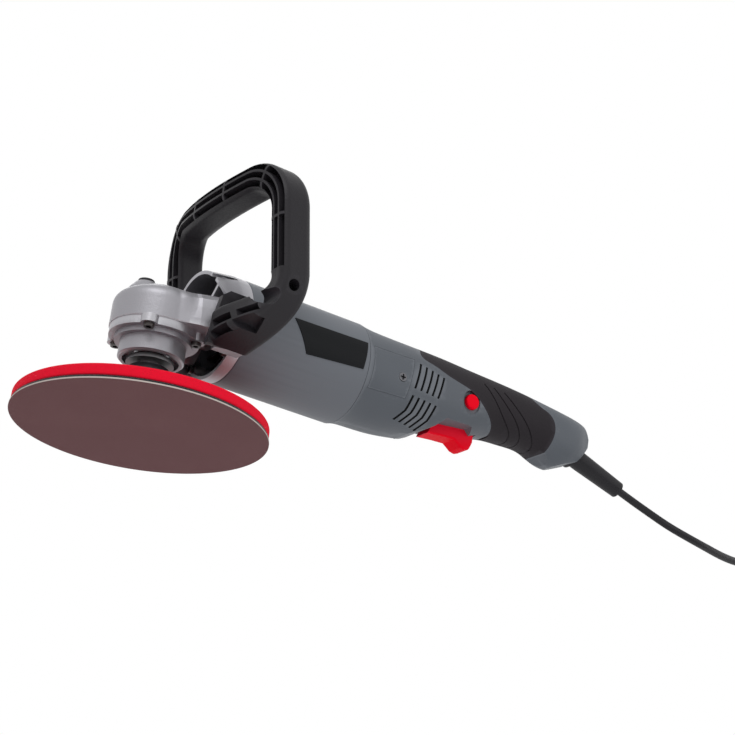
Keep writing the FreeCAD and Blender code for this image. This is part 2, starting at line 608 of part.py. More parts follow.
# ------------------------------------------------------------------ motor
def make_motor():
    shell_inner = MOTOR_R - MOTOR_WALL
    housing = turned_x([(RING_X + SEAM / 2, MOTOR_R - 0.6), (RING_X + 1, MOTOR_R), (MOTOR_END, MOTOR_R)])
    housing = housing.cut(rod(shell_inner, MOTOR_END, V(RING_X - 1, 0, SHAFT_Z), X_AXIS))
    for place in head_screw_places():
        housing = housing.fuse(ring_boss(place, RING_X + SEAM / 2, HEAD_BOSS_END))
        housing = housing.cut(rod(HEAD_SCREW_R + SLIP, HEAD_BOSS_END, place, X_AXIS))
    save("motor_housing", housing)
    yoke = tube(shell_inner - SLIP, CORE_R + AIR_GAP, CORE_LENGTH, V(CORE_X, 0, SHAFT_Z), X_AXIS)
    for side in (-1, 1):
        slot = tube(shell_inner - 4, CORE_R, CORE_LENGTH, V(CORE_X, 0, SHAFT_Z), X_AXIS)
        wedge = side_wedge(CORE_X, CORE_LENGTH, side)
        yoke = yoke.cut(slot.common(wedge))
    save("stator_core", yoke)
    for name, side in (("field_coil_upper", 1), ("field_coil_lower", -1)):
        length = CORE_LENGTH + 2 * COIL_OVERHANG
        start = V(CORE_X - COIL_OVERHANG, 0, SHAFT_Z)
        coil = tube(shell_inner - 4.2, CORE_R + AIR_GAP + 0.6, length, start, X_AXIS)
        save(name, coil.common(side_wedge(CORE_X - COIL_OVERHANG, length, side, 0.4)))
    step_x = FRONT_BEARING_X - 5
    shaft = turned_x([(12, SHAFT_NOSE_R - 1), (step_x, SHAFT_NOSE_R - 1), (step_x, SHAFT_R),
                      (REAR_BEARING_X - 2, SHAFT_R), (REAR_BEARING_X - 2, SHAFT_NOSE_R),
                      (REAR_BEARING_X + REAR_BEARING_T, SHAFT_NOSE_R)])
    save("armature_shaft", shaft)
    core = tube(CORE_R, SHAFT_R + SLIP, CORE_LENGTH, V(CORE_X, 0, SHAFT_Z), X_AXIS)
    for end, direction in ((CORE_X, -1), (CORE_X + CORE_LENGTH, 1)):
        head = turned_x([(end, CORE_R - 3), (end + direction * 8, CORE_R - 4),
                         (end + direction * 13, SHAFT_R + 4)])
        core = core.fuse(head.cut(rod(SHAFT_R + SLIP, 200, V(0, 0, SHAFT_Z), X_AXIS)))
    save("armature_core", core)
    commutator = tube(COMMUTATOR_R, SHAFT_R + SLIP, COMMUTATOR_LENGTH, V(COMMUTATOR_X, 0, SHAFT_Z), X_AXIS)
    save("commutator", commutator)
    fan = rod(FAN_R, 1.6, V(FAN_X + FAN_T - 1.6, 0, SHAFT_Z), X_AXIS)
    fan = fan.fuse(rod(11, FAN_T, V(FAN_X, 0, SHAFT_Z), X_AXIS))
    for i in range(FAN_BLADES):
        blade = block(FAN_X, FAN_X + FAN_T - 1, -0.8, 0.8, SHAFT_Z + 18, SHAFT_Z + FAN_R)
        blade.rotate(V(0, 0, SHAFT_Z + 18), X_AXIS, 35)
        blade = blade.common(rod(FAN_R, FAN_T, V(FAN_X, 0, SHAFT_Z), X_AXIS))
        blade.rotate(V(0, 0, SHAFT_Z), X_AXIS, i * 360 / FAN_BLADES)
        fan = fan.fuse(blade)
    save("fan", fan.cut(rod(SHAFT_R + SLIP, 30, V(FAN_X - 5, 0, SHAFT_Z), X_AXIS)))
    brush_x = COMMUTATOR_X + COMMUTATOR_LENGTH / 2
    for name, side in (("left", -1), ("right", 1)):
        low = min(side * (COMMUTATOR_R + 0.3), side * (COMMUTATOR_R + 15))
        brush = block(brush_x - BRUSH_H / 2, brush_x + BRUSH_H / 2, low, low + 14.7, SHAFT_Z - BRUSH_W / 2,
                      SHAFT_Z + BRUSH_W / 2)
        save("carbon_brush_" + name, brush)
        low = min(side * (COMMUTATOR_R + 2), side * (COMMUTATOR_R + 16.5))
        wall = BRUSH_WALL + SLIP
        box = block(brush_x - BRUSH_H / 2 - wall, brush_x + BRUSH_H / 2 + wall, low, low + 14.5,
                    SHAFT_Z - BRUSH_W / 2 - wall, SHAFT_Z + BRUSH_W / 2 + wall)
        hole = block(brush_x - BRUSH_H / 2 - SLIP, brush_x + BRUSH_H / 2 + SLIP, low - 1, low + 16,
                     SHAFT_Z - BRUSH_W / 2 - SLIP, SHAFT_Z + BRUSH_W / 2 + SLIP)
        save("brush_box_" + name, box.cut(hole))


def side_wedge(x, length, side, shrink=0.0):
    """Wedge above or below the shaft where a field coil lies."""
    reach = MOTOR_R + 10
    lean = math.tan(math.radians(38)) * reach
    points = [V(x, 0, SHAFT_Z + side * shrink * 2), V(x, -lean, SHAFT_Z + side * reach),
              V(x, lean, SHAFT_Z + side * reach)]
    return Part.Face(Part.makePolygon(points + [points[0]])).extrude(V(length, 0, 0))


# ------------------------------------------------------------------ rear shells
# each section of the rear housing: x, half width, underside z, top z, squareness
SECTIONS = [
    (MOTOR_END, MOTOR_R, SHAFT_Z - MOTOR_R, SHAFT_Z + MOTOR_R, 2.0),
    (172, 37.3, 55.0, 128.9, 2.1),
    (192, 35.8, 55.8, 128.4, 2.2),
    (212, 34.0, 58.2, 128.6, 2.2),
    (236, 30.5, 62.5, 128.9, 2.2),
    (262, 26.5, 69.0, 128.4, 2.2),
    (288, 23.4, 79.0, 127.6, 2.2),
    (314, 22.0, 81.4, 126.4, 2.2),
    (336, 21.3, 80.6, 124.7, 2.2),
    (350, 21.8, 76.0, 123.0, 2.3),
    (362, 21.4, 74.5, 121.8, 2.3),
    (378, 16.6, 80.0, 120.6, 2.3),
    (394, 6.5, 88.0, 118.8, 2.2),
]
SECTION_POINTS = 24
# underside round the trigger and the end cap, as cutting outlines in side view
BELLY_CUT = [(209, 40), (209, 58.3), (216, 59.5), (224, 63.5), (232, 68), (239, 75), (267, 78), (274, 71.3),
             (280, 74.5), (292, 81), (292, 40)]
CAP_CUT = [(340, 40), (340, 81.8), (345.5, 80.5), (355.5, 73.5), (379.5, 84), (392, 100), (392.8, 107.5),
           (386, 119.5), (372, 122), (372, 160), (420, 160), (420, 40)]


def oval(x, half, low, high, power, inset):
    """Superellipse section of the rear housing, set in by the given amount."""
    middle = (low + high) / 2
    a = half - inset
    b = (high - low) / 2 - inset
    points = []
    for i in range(SECTION_POINTS):
        turn = 2 * math.pi * i / SECTION_POINTS
        c = math.cos(turn)
        s = math.sin(turn)
        y = a * math.copysign(abs(c) ** (2 / power), c)
        z = b * math.copysign(abs(s) ** (2 / power), s)
        points.append(V(x, y, middle + z))
    curve = Part.BSplineCurve()
    curve.interpolate(Points=points, PeriodicFlag=True)
    return Part.Wire(curve.toShape())


def housing_solid(inset):
    """Rear housing shape, set in all round by the given amount."""
    wires = [oval(x, half, low, high, power, inset) for x, half, low, high, power in SECTIONS]
    solid = Part.makeLoft(wires, True, False)
    for outline in (BELLY_CUT, CAP_CUT):
        points = [V(x, 0, z) for x, z in outline]
        face = Part.Face(Part.makePolygon(points + [points[0]]))
        if inset:
            face = face.makeOffset2D(inset, join=2)
        face.translate(V(0, -60, 0))
        solid = solid.cut(face.extrude(V(0, 120, 0)))
    if inset:
        solid = solid.cut(block(MOTOR_END - 5, MOTOR_END + 0.01, -60, 60, 0, 200))
    return solid


def grip_outline():
    """Side outline of the soft grip; its nose curves down behind the lock-on button."""
    nose = [V(211, 0, 150), V(209, 0, 121)]
    front = [V(209, 0, 121), V(207.5, 0, 113.7), V(218.5, 0, 110.2), V(230.7, 0, 107), V(247, 0, 104.5),
             V(260, 0, 101.8), V(270, 0, 96), V(282, 0, 88), V(291, 0, 79), V(292, 0, 70)]
    rear = [V(345, 0, 70), V(345.8, 0, 92), V(345.2, 0, 104), V(340, 0, 111), V(333, 0, 114), V(324, 0, 122),
            V(320, 0, 150)]
    edges = [Part.makeLine(nose[0], nose[1]), spline(front), Part.makeLine(front[-1], rear[0]), spline(rear),
             Part.makeLine(rear[-1], nose[0])]
    return Part.Face(Part.Wire(Part.__sortEdges__(edges)))


COVER_OUTLINE = [(MOTOR_END + 4.5, 104.9), (198.5, 107.6), (194.0, 74.6), (MOTOR_END + 4.5, 72.4)]


def vent_slots():
    """Two rows of slanted slots, cut through both shells."""
    slots = []
    for i in range(VENT_COLUMNS):
        x = VENT_X + VENT_PITCH * i
        top = VENT_TOP - VENT_TOP_DROP * i
        slots.append([(x, top), (x + VENT_W, top), (x + VENT_W - VENT_SLANT, VENT_LOW),
                      (x - VENT_SLANT, VENT_LOW)])
        x = LOW_VENT_X + VENT_PITCH * i
        slots.append([(x, LOW_VENT_TOP), (x + VENT_W, LOW_VENT_TOP), (x + VENT_W - 2, 68),
                      (x + VENT_W - 7, 61), (x - 7, 61), (x - 2, 68)])
    return slots


def make_shells():
    outer = housing_solid(0)
    grip_floor = housing_solid(GRIP_T)
    cover_floor = housing_solid(COVER_T)
    inner = housing_solid(SHELL_WALL)
    front_cut = block(MOTOR_END - 1, MOTOR_END + SEAM, -60, 60, 0, 200)
    outer = outer.cut(front_cut)
    grip_zone = grip_outline()
    grip_zone.translate(V(0, -60, 0))
    grip_zone = grip_zone.extrude(V(0, 120, 0))
    grip = outer.cut(grip_floor).common(grip_zone)
    shell = outer.cut(grip).cut(inner)
    # brush covers are let into the sides
    cover_zone = side_prism(COVER_OUTLINE, -60, 60)
    cover_plate = outer.cut(cover_floor)
    shell = shell.cut(cover_plate.common(cover_zone))
    small = Part.Face(Part.makePolygon([V(x, -60, z) for x, z in COVER_OUTLINE + [COVER_OUTLINE[0]]]))
    small = small.makeOffset2D(-0.25).extrude(V(0, 120, 0))
    cover = cover_plate.common(small)
    for outline in vent_slots():
        shell = shell.cut(side_prism(outline, -60, 60))
    # slot for the trigger
    slot_half = TRIGGER_W / 2 + TRIGGER_GAP
    shell = shell.cut(block(231.5, 278.5, -slot_half, slot_half, 40, 92))
    # cheeks that hold the trigger pin
    for side in (-1, 1):
        cheek = block(TRIGGER_PIVOT_X - 5, TRIGGER_PIVOT_X + 5, 0, CHEEK_T, 72, TRIGGER_PIVOT_Z + 5)
        cheek.translate(V(0, slot_half if side > 0 else -slot_half - CHEEK_T, 0))
        shell = shell.fuse(cheek.common(housing_solid(1.0)))
    pin_start = V(TRIGGER_PIVOT_X, -PIN_REACH, TRIGGER_PIVOT_Z)
    shell = shell.cut(rod(TRIGGER_PIN_R + SLIP, 2 * PIN_REACH, pin_start, Y_AXIS))
    for side in (-1, 1):
        shell = shell.cut(rod(COVER_SCREW_R + SLIP, 60, V(COVER_SCREW_X, 0, COVER_SCREW_Z), V(0, side, 0)))
    # round hole for the strain relief, with a pocket that traps its collar
    relief_axis = (RELIEF_END - RELIEF_START).normalize()
    shell = shell.cut(rod(RELIEF_R0 + SLIP, 40, RELIEF_START - relief_axis * 10, relief_axis))
    shell = shell.cut(rod(RELIEF_R0 + 3 + SLIP, 2.6, RELIEF_START - relief_axis * 4.55, relief_axis))
    # seat of the rear bearing: a wall across the shells
    wall = block(REAR_BEARING_X - 1, REAR_BEARING_X + REAR_BEARING_T + 1, -60, 60, 40, 140)
    wall = wall.common(housing_solid(SHELL_WALL - 0.5))
    wall = wall.cut(rod(REAR_BEARING_R + SLIP, REAR_BEARING_T, V(REAR_BEARING_X, 0, SHAFT_Z), X_AXIS))
    wall = wall.cut(rod(SHAFT_R + 3, 20, V(REAR_BEARING_X - 5, 0, SHAFT_Z), X_AXIS))
    for side in (-1, 1):
        wall = wall.cut(rod(6, 20, V(REAR_BEARING_X - 5, side * 20, SHAFT_Z), X_AXIS))
        wall = wall.cut(rod(5, 20, V(REAR_BEARING_X - 5, 0, SHAFT_Z + side * 22), X_AXIS))
    shell = shell.fuse(wall)
    # ribs that hold the switch
    for side in (-1, 1):
        for x in (SWITCH_X + 5, SWITCH_X + SWITCH_LENGTH - 7):
            rib = block(x, x + 2, 0, 40, SWITCH_LOW + 2, SWITCH_LOW + SWITCH_H - 2)
            rib.translate(V(0, SWITCH_W / 2 + SLIP if side > 0 else -SWITCH_W / 2 - SLIP - 40, 0))
            shell = shell.fuse(rib.common(housing_solid(SHELL_WALL - 0.5)))
    right_half = block(100, 450, 0, 80, 0, 200)
    left_half = block(100, 450, -80, 0, 0, 200)
    left = shell.common(left_half)
    right = shell.common(right_half)
    # lock-on button: bore and shallow dish on the left only
    bore = rod(BUTTON_R + SLIDE_FIT, 40, V(BUTTON_X, -40, BUTTON_Z), Y_AXIS)
    dish = rod(BUTTON_R + BUTTON_DISH, 16, V(BUTTON_X - 1, -40, BUTTON_Z - 0.5), Y_AXIS)
    left = left.cut([bore, dish])
    save("handle_shell_left", main_solid(left))
    save("handle_shell_right", main_solid(right))
    groove_tools = grip_grooves(outer)
    grip = grip.cut(groove_tools)
    save("soft_grip_left", main_solid(grip.common(left_half)))
    save("soft_grip_right", main_solid(grip.common(right_half)))
    for name, half_space, side in (("left", left_half, -1), ("right", right_half, 1)):
        one = cover.common(half_space)
        seat = V(COVER_SCREW_X, side * COVER_SCREW_SEAT, COVER_SCREW_Z)
        one = one.cut(rod(COVER_SCREW_HEAD_R + 0.2, 20, seat, V(0, side, 0)))
        one = one.cut(rod(COVER_SCREW_R + SLIP, 60, V(COVER_SCREW_X, 0, COVER_SCREW_Z), V(0, side, 0)))
        save("brush_cover_" + name, main_solid(one))


def main_solid(shape):
    """Largest solid of a cut, so that no sliver is kept."""
    solids = sorted(shape.Solids, key=lambda s: s.Volume)
    return solids[-1]


def grip_grooves(outer):
    """Curved grooves across the grip, sunk from its surface."""
    lines = [[(272, 114), (285.5, 100.4), (296, 91), (304, 86), (311, 80)],
             [(282, 114), (300.6, 98.2), (310.4, 90.5), (322, 80)],
             [(292.5, 113.4), (311.9, 99), (321, 92.2), (334, 81)]]
    skin = outer.cut(housing_solid(GROOVE_DEPTH))
    tools = []
    for line in lines:
        upper = [V(x, -60, z) for x, z in line]
        lower = [V(x + GROOVE_W * 0.7, -60, z + GROOVE_W * 0.7) for x, z in reversed(line)]
        edges = [spline(upper), Part.makeLine(upper[-1], lower[0]), spline(lower),
                 Part.makeLine(lower[-1], upper[0])]
        face = Part.Face(Part.Wire(Part.__sortEdges__(edges)))
        tools.append(face.extrude(V(0, 120, 0)).common(skin))
    return tools


def make_controls():
    outline = [(233.8, 65.9), (247, 67.2), (259, 67.9), (266, 63.2), (270, 62.4), (273.3, 63.6), (275.9, 70),
               (276.3, 83.8), (241, 86.2), (238.8, 76.5)]
    half = TRIGGER_W / 2
    trigger = side_prism(outline, -half, half)
    long_edges = [e for e in trigger.Edges if e.BoundBox.ZMax < 68.5 and e.BoundBox.YLength < 0.1]
    trigger = trigger.makeFillet(1.4, long_edges)
    trigger = trigger.cut(rod(TRIGGER_PIN_R + RUN_FIT, 40, V(TRIGGER_PIVOT_X, -20, TRIGGER_PIVOT_Z), Y_AXIS))
    save("trigger", trigger)
    pin = rod(TRIGGER_PIN_R, 2 * PIN_REACH, V(TRIGGER_PIVOT_X, -PIN_REACH, TRIGGER_PIVOT_Z), Y_AXIS)
    save("trigger_pin", pin)
    save("switch_body", block(SWITCH_X, SWITCH_X + SWITCH_LENGTH, -SWITCH_W / 2, SWITCH_W / 2, SWITCH_LOW,
                              SWITCH_LOW + SWITCH_H))
    button = rod(BUTTON_R, 12, V(BUTTON_X, -27.4, BUTTON_Z), Y_AXIS)
    button = button.makeFillet(1.5, [e for e in button.Edges if e.BoundBox.YMax < -27.3 and e.Length > 20])
    save("lock_on_button", button)
    for name, side in (("left", -1), ("right", 1)):
        seat = V(COVER_SCREW_X, side * (COVER_SCREW_SEAT + 0.05), COVER_SCREW_Z)
        screw = rod(COVER_SCREW_HEAD_R, 2, seat, V(0, side, 0))
        screw = screw.fuse(rod(COVER_SCREW_R, 12, V(COVER_SCREW_X, side * 35, COVER_SCREW_Z), V(0, -side, 0)))
        for turn in (0, 90):
            slot = block(-2.4, 2.4, -1.2, 1.2, -0.45, 0.45)
            slot.rotate(V(0, 0, 0), Y_AXIS, turn)
            slot.translate(V(COVER_SCREW_X, side * 36.25, COVER_SCREW_Z))
            screw = screw.cut(slot)
        save("cover_screw_" + name, screw)


# ------------------------------------------------------------------ loop handle
def corner_joint(bend, rise, crown, across):
    """Where the corner arc meets the crown arc, and the corners of the two tangents there."""
    reach = LOOP_CORNER_REACH
    knee = bend + rise * reach
    gap = knee - crown
    crown_reach = (gap.Length ** 2 - reach ** 2) / (2 * (reach + gap.dot(across)))
    shoulder = crown + across * crown_reach
    joint = (knee * crown_reach + shoulder * reach) * (1 / (reach + crown_reach))
    return knee, joint, shoulder


def arc_through(start, corner, end):
    """Arc from start to end whose two end tangents meet at the corner."""
    middle = (start + end) * 0.5
    half_turn = math.pi / 2 - (start - corner).getAngle(end - corner) / 2
    sagitta = (start - end).Length / 2 * math.tan(half_turn / 2)
    outwards = (corner - middle).normalize()
    return Part.Arc(start, middle + outwards * sagitta, end).toShape()


def swept(path, profile):
    """Sweep along the loop with the depth of the section kept along X."""
    sweep = Part.BRepOffsetAPI.MakePipeShell(path)
    sweep.setBiNormalMode(X_AXIS)
    sweep.add(profile, False, False)
    sweep.build()
    sweep.makeSolid()
    return outward(sweep.shape())


def loop_path():
    """Line of the loop from one foot over the crown to the other."""
    leg_y = LOOP_OUTER_Y - LOOP_T / 2
    crown = V(LOOP_CROWN_X, 0, LOOP_TOP - LOOP_T / 2)
    halves = []
    for side in (1, -1):
        foot = V(LOOP_FOOT_X, side * leg_y, LOOP_FOOT_Z)
        bend = V(LOOP_BEND_X, side * leg_y, LOOP_BEND_Z)
        rise = (bend - foot).normalize()
        knee, joint, shoulder = corner_joint(bend, rise, crown, V(0, side, 0))
        halves.append([Part.makeLine(foot, bend), arc_through(bend, knee, joint),
                       arc_through(joint, shoulder, crown)])
    return Part.Wire(halves[0] + halves[1][::-1])


def front_rows(path, foot):
    """Rows of open pockets on the front of the loop, parted by cross ribs."""
    first = foot - V(LOOP_DEPTH / 2 - ROW_DEPTH / 2 + 0.5, 0, 0)
    rows = []
    for offset in ROW_OFFSETS:
        profile = rounded_rect(first + V(0, offset, 0), X_AXIS, Y_AXIS, ROW_DEPTH + 1, ROW_W, ROW_W / 4)
        rows.append(swept(path, profile))
    points = path.discretize(Number=int(path.Length) + 1)
    middle = len(points) // 2
    ribs = []
    for i in range(CROSS_RIBS):
        for side in (1, -1):
            k = middle + side * round((i + 0.5) * CROSS_RIB_PITCH)
            along = points[k + 1] - points[k - 1]
            slab = block(-40, 40, -40, 40, -CROSS_RIB_T / 2, CROSS_RIB_T / 2)
            slab.Placement = FreeCAD.Placement(points[k], FreeCAD.Rotation(Z_AXIS, along))
            ribs.append(slab)
    return [row.cut(ribs) for row in rows]


def make_loop_handle():
    leg_y = LOOP_OUTER_Y - LOOP_T / 2
    path = loop_path()
    foot = V(LOOP_FOOT_X, leg_y, LOOP_FOOT_Z)
    handle = swept(path, rounded_rect(foot, X_AXIS, Y_AXIS, LOOP_DEPTH, LOOP_T, LOOP_ROUND))
    for side in (1, -1):
        handle = handle.fuse(leg_arm(side, leg_y))
    handle = handle.cut(front_rows(path, foot))
    save("loop_handle", main_solid(handle.removeSplitter()))


def leg_arm(side, leg_y):
    """Arm from the foot of a leg in to its mounting plate on the gear case."""
    face_y = CASE_SIDE + SLIP
    tilt = math.radians(40)
    v_mid = V(0, side * math.cos(tilt), -math.sin(tilt))
    low_tilt = math.radians(72)
    v_low = V(0, side * math.cos(low_tilt), -math.sin(low_tilt))
    foot = V(LOOP_FOOT_X, side * leg_y, LOOP_FOOT_Z)
    wires = [rounded_rect(foot, X_AXIS, V(0, side, 0), LOOP_DEPTH, LOOP_T, LOOP_ROUND),
             rounded_rect(V(56, side * (leg_y - 3), 95), X_AXIS, v_mid, 26, 20, LOOP_ROUND),
             rounded_rect(V(43.5, side * 60, 79), X_AXIS, v_low, 33, 24, LOOP_ROUND),
             rounded_rect(V(36, side * (face_y + MOUNT_PLATE_T - 1), 71), X_AXIS, -Z_AXIS, 34, 27,
                          LOOP_ROUND)]
    arm = outward(Part.makeLoft(wires, True, False))
    outline = [(18, 57.5), (25, 96), (30.5, 100.5), (48, 100.5), (53, 96), (53.5, 66), (49, 61)]
    plate = side_prism(outline, face_y, face_y + MOUNT_PLATE_T)
    if side < 0:
        plate = mirrored(plate)
    arm = arm.fuse(plate)
    # four open pockets on the front of the arm, and a blind hole in the outer side of the leg
    for column in range(2):
        y = ARM_POCKET_Y + ARM_POCKET_STEP * column
        for row in (-1, 1):
            z = ARM_POCKET_Z + ARM_POCKET_RISE * column + row * ARM_POCKET_H * 0.7
            pocket = block(0, ARM_POCKET_END + ARM_POCKET_STEP * column, -ARM_POCKET_L / 2, ARM_POCKET_L / 2,
                           -ARM_POCKET_H / 2, ARM_POCKET_H / 2)
            pocket.rotate(V(0, 0, 0), X_AXIS, side * ARM_SLOPE)
            pocket.translate(V(0, side * y, z))
            arm = arm.cut(pocket)
    hole_floor = V(SIDE_HOLE_X, side * (LOOP_OUTER_Y - SIDE_HOLE_DEPTH), SIDE_HOLE_Z)
    arm = arm.cut(rod(SIDE_HOLE_R, 2 * SIDE_HOLE_DEPTH, hole_floor, V(0, side, 0)))
    # bolt hole and the counterbore of its head
    seat_y = face_y + MOUNT_PLATE_T - 1.5
    arm = arm.cut(rod(BOLT_R + SLIP, 20, V(BOLT_X, side * (face_y - 1), BOLT_Z), V(0, side, 0)))
    arm = arm.cut(rod(BOLT_HEAD_R + 0.3, 40, V(BOLT_X, side * seat_y, BOLT_Z), V(0, side, 0)))
    return arm


def make_handle_bolts():
    face_y = CASE_SIDE + SLIP + MOUNT_PLATE_T - 1.5
    for name, side in (("left", -1), ("right", 1)):
        base = V(BOLT_X, side * (face_y + BOLT_HEAD_H), BOLT_Z)
        bolt = socket_screw(BOLT_HEAD_R, BOLT_HEAD_H, BOLT_R, 14, base, V(0, -side, 0))
        save("handle_bolt_" + name, bolt)


# ------------------------------------------------------------------ lead
CORD_ROUTE = [V(432, 0, 77), V(447.3, 0, 72.4), V(463, -6, 64), V(475, -16, 54), V(483, -31, 43.5),
              V(485, -50, 32), V(482, -71, 20), V(478, -93, 9.5), V(474, -115, CORD_R), V(472, -136, CORD_R),
              V(471.7, -151, CORD_R)]
TAIL_ROUTE = [V(552.2, -152, 21.7), V(553, -134, 15.5), V(551, -116, 8.5)]


def cord_tube(name, route):
    """Tube of straight runs and tangent arcs through a route."""
    edges = []
    radii = []
    start = route[0]
    for i in range(1, len(route) - 1):
        before = route[i] - route[i - 1]
        after = route[i + 1] - route[i]
        turn = before.getAngle(after)
        radius = 0.45 * min(before.Length, after.Length) / math.tan(turn / 2)
        cut_back = radius * math.tan(turn / 2)
        a = V(before).normalize()
        b = V(after).normalize()
        first = route[i] - a * cut_back
        last = route[i] + b * cut_back
        inward = (b - a).normalize()
        middle = route[i] + inward * (radius / math.cos(turn / 2) - radius)
        edges.append(Part.LineSegment(start, first).toShape())
        edges.append(Part.Arc(first, middle, last).toShape())
        radii.append(round(radius, 1))
        start = last
    edges.append(Part.LineSegment(start, route[-1]).toShape())
    wire = Part.Wire(edges)
    direction = V(route[1] - route[0]).normalize()
    profile = Part.Wire(Part.makeCircle(CORD_R, route[0], direction))
    solid = wire.makePipeShell([profile], True, False)
    length = wire.Length
    ratio = solid.Volume / (math.pi * CORD_R ** 2 * length)
    print(name, "length", round(length, 1), "arc radii", radii, "volume ratio", round(ratio, 4))
    save(name, solid)


def make_lead():
    axis = V(RELIEF_END - RELIEF_START)
    length = axis.Length
    axis.normalize()
    relief = Part.makeCone(RELIEF_R0, RELIEF_R1, length - 6, RELIEF_START + axis * 6, axis)
    root = rod(RELIEF_R0, 6, RELIEF_START, axis)
    collar = rod(RELIEF_R0 + 3, 2.5, RELIEF_START - axis * 4.5, axis)
    neck = rod(RELIEF_R0, 8, RELIEF_START - axis * 4.5, axis)
    save("strain_relief", relief.fuse([root, neck, collar]))
    cord_tube("cord", CORD_ROUTE)
    band = COIL_TURNS_WIDE * 2 * CORD_R
    high = COIL_TURNS_HIGH * 2 * CORD_R
    middle = V(COIL_CENTRE) + V(COIL_MEAN_R, 0, high / 2)
    wire = rounded_rect(middle, X_AXIS, Z_AXIS, band, high, CORD_R)
    coil = Part.Face(wire).revolve(COIL_CENTRE, Z_AXIS, 360)
    turns = COIL_TURNS_WIDE * COIL_TURNS_HIGH
    print("coil turns", turns, "length in the coil", round(turns * 2 * math.pi * COIL_MEAN_R))
    save("cord_coil", coil)
    make_cord_tie(middle, band, high)
    cord_tube("cord_tail", TAIL_ROUTE)
    make_plug()


def make_cord_tie(middle, band, high):
    """Strap over the top and sides of the coil; its flat underside is pressed into the lowest turns."""
    outer = rounded_rect(middle, X_AXIS, Z_AXIS, band + 2 * TIE_T, high + 2 * TIE_T, CORD_R + TIE_T)
    inner = rounded_rect(middle, X_AXIS, Z_AXIS, band + 2 * SLIP, high + 2 * SLIP, CORD_R + SLIP)
    turn = math.degrees(TIE_W / COIL_MEAN_R)
    strap = Part.Face(outer).revolve(COIL_CENTRE, Z_AXIS, turn)
    strap = strap.cut(Part.Face(inner).revolve(COIL_CENTRE, Z_AXIS, turn))
    strap = strap.common(block(400, 600, -250, -80, CORD_R, 60))
    strap.rotate(COIL_CENTRE, Z_AXIS, TIE_TURN)
    save("cord_tie", strap)


def make_plug():
    tail = TAIL_ROUTE[-1]
    direction = V(TAIL_ROUTE[-1] - TAIL_ROUTE[-2])
    direction.z = 0
    direction.normalize()
    across = V(-direction.y, direction.x, 0)
    start = tail + direction * 0.3
    sections = [(0, 9, 9, 4.4), (14, 11, 11, 5), (20, 22, 13, 5.5), (30, 34, 15, 6), (46, 35.5, 15.5, 6)]
    wires = [rounded_rect(start + direction * t, across, Z_AXIS, w, h, r) for t, w, h, r in sections]
    body = Part.makeLoft(wires, True, True)
    save("plug_body", body)
    for i, side in enumerate((-1, 1)):
        pin = rod(2.4, 19, start + direction * 46 + across * (side * 9.5), direction)
        save("plug_pin_" + str(i + 1), pin)


def main():
    make_pad()
    make_backing_plate()
    make_spindle()
    make_gears()
    make_bearings()
    make_flange()
    make_gear_case()
    make_head_screws()
    make_spindle_lock()
    make_motor()
    make_shells()
    make_controls()
    make_loop_handle()
    make_handle_bolts()
    make_lead()


main()
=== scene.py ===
# %% [markdown]
# # A rotary polisher, dressed for a render
#
# The solid model of this tool was made elsewhere and is loaded here as a frame. Blender adds what
# a solid can't carry: the finish of each surface, the soft foam pad, the flexible lead and the bare
# badge plates. Everything is in metres. The origin is the centre of the abrasive face, +Z is the
# spindle axis, +X runs along the motor to the rear grip, and -Y is the side of the lock-on button.

# %% Load the frame
import json
import math
import bmesh
import bpy
from mathutils import Matrix, Vector


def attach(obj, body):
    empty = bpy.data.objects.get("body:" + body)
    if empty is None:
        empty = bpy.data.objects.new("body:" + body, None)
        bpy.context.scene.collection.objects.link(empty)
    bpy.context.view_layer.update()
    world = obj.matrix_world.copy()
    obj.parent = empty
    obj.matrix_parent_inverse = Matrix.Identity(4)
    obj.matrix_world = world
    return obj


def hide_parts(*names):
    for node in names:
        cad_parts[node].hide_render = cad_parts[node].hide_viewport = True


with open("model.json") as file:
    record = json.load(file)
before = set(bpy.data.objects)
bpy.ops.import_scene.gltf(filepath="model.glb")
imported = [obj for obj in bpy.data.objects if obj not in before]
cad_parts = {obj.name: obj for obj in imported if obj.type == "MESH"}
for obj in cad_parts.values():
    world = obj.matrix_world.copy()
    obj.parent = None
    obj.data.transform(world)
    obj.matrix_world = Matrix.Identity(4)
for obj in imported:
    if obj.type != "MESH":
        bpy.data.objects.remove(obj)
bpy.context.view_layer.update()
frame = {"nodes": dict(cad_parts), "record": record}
nodes = frame["nodes"]

MM = 0.001

# %% [markdown]
# ## Camera
#
# A camera is a place, a direction and a lens. It could be turned with Euler angles, but a tool seen
# from a little below with a tilted horizon is easier to set from three plain facts: how far round
# the object it stands, how far under it, and how much it is rolled. From these come its right, up
# and back directions, which are the columns of its matrix.

# %% Camera
CAMERA_TURN = math.radians(32.0)      # round the object from -Y towards -X
CAMERA_RISE = math.radians(-22.42)    # negative: the camera looks up from under the pad
CAMERA_ROLL = math.radians(6.64)
CAMERA_DISTANCE = 1.2376
CAMERA_AIM_RIGHT = 0.15712            # the aim point, along the camera's own right and up
CAMERA_AIM_UP = 0.04214
LENS_MM = 88.16

back = Vector((-math.sin(CAMERA_TURN) * math.cos(CAMERA_RISE),
               -math.cos(CAMERA_TURN) * math.cos(CAMERA_RISE), math.sin(CAMERA_RISE)))
level = Vector((math.cos(CAMERA_TURN), -math.sin(CAMERA_TURN), 0.0))
upright = back.cross(level)
right = level * math.cos(CAMERA_ROLL) + upright * math.sin(CAMERA_ROLL)
up = upright * math.cos(CAMERA_ROLL) - level * math.sin(CAMERA_ROLL)
aim = right * CAMERA_AIM_RIGHT + up * CAMERA_AIM_UP
eye = aim + back * CAMERA_DISTANCE

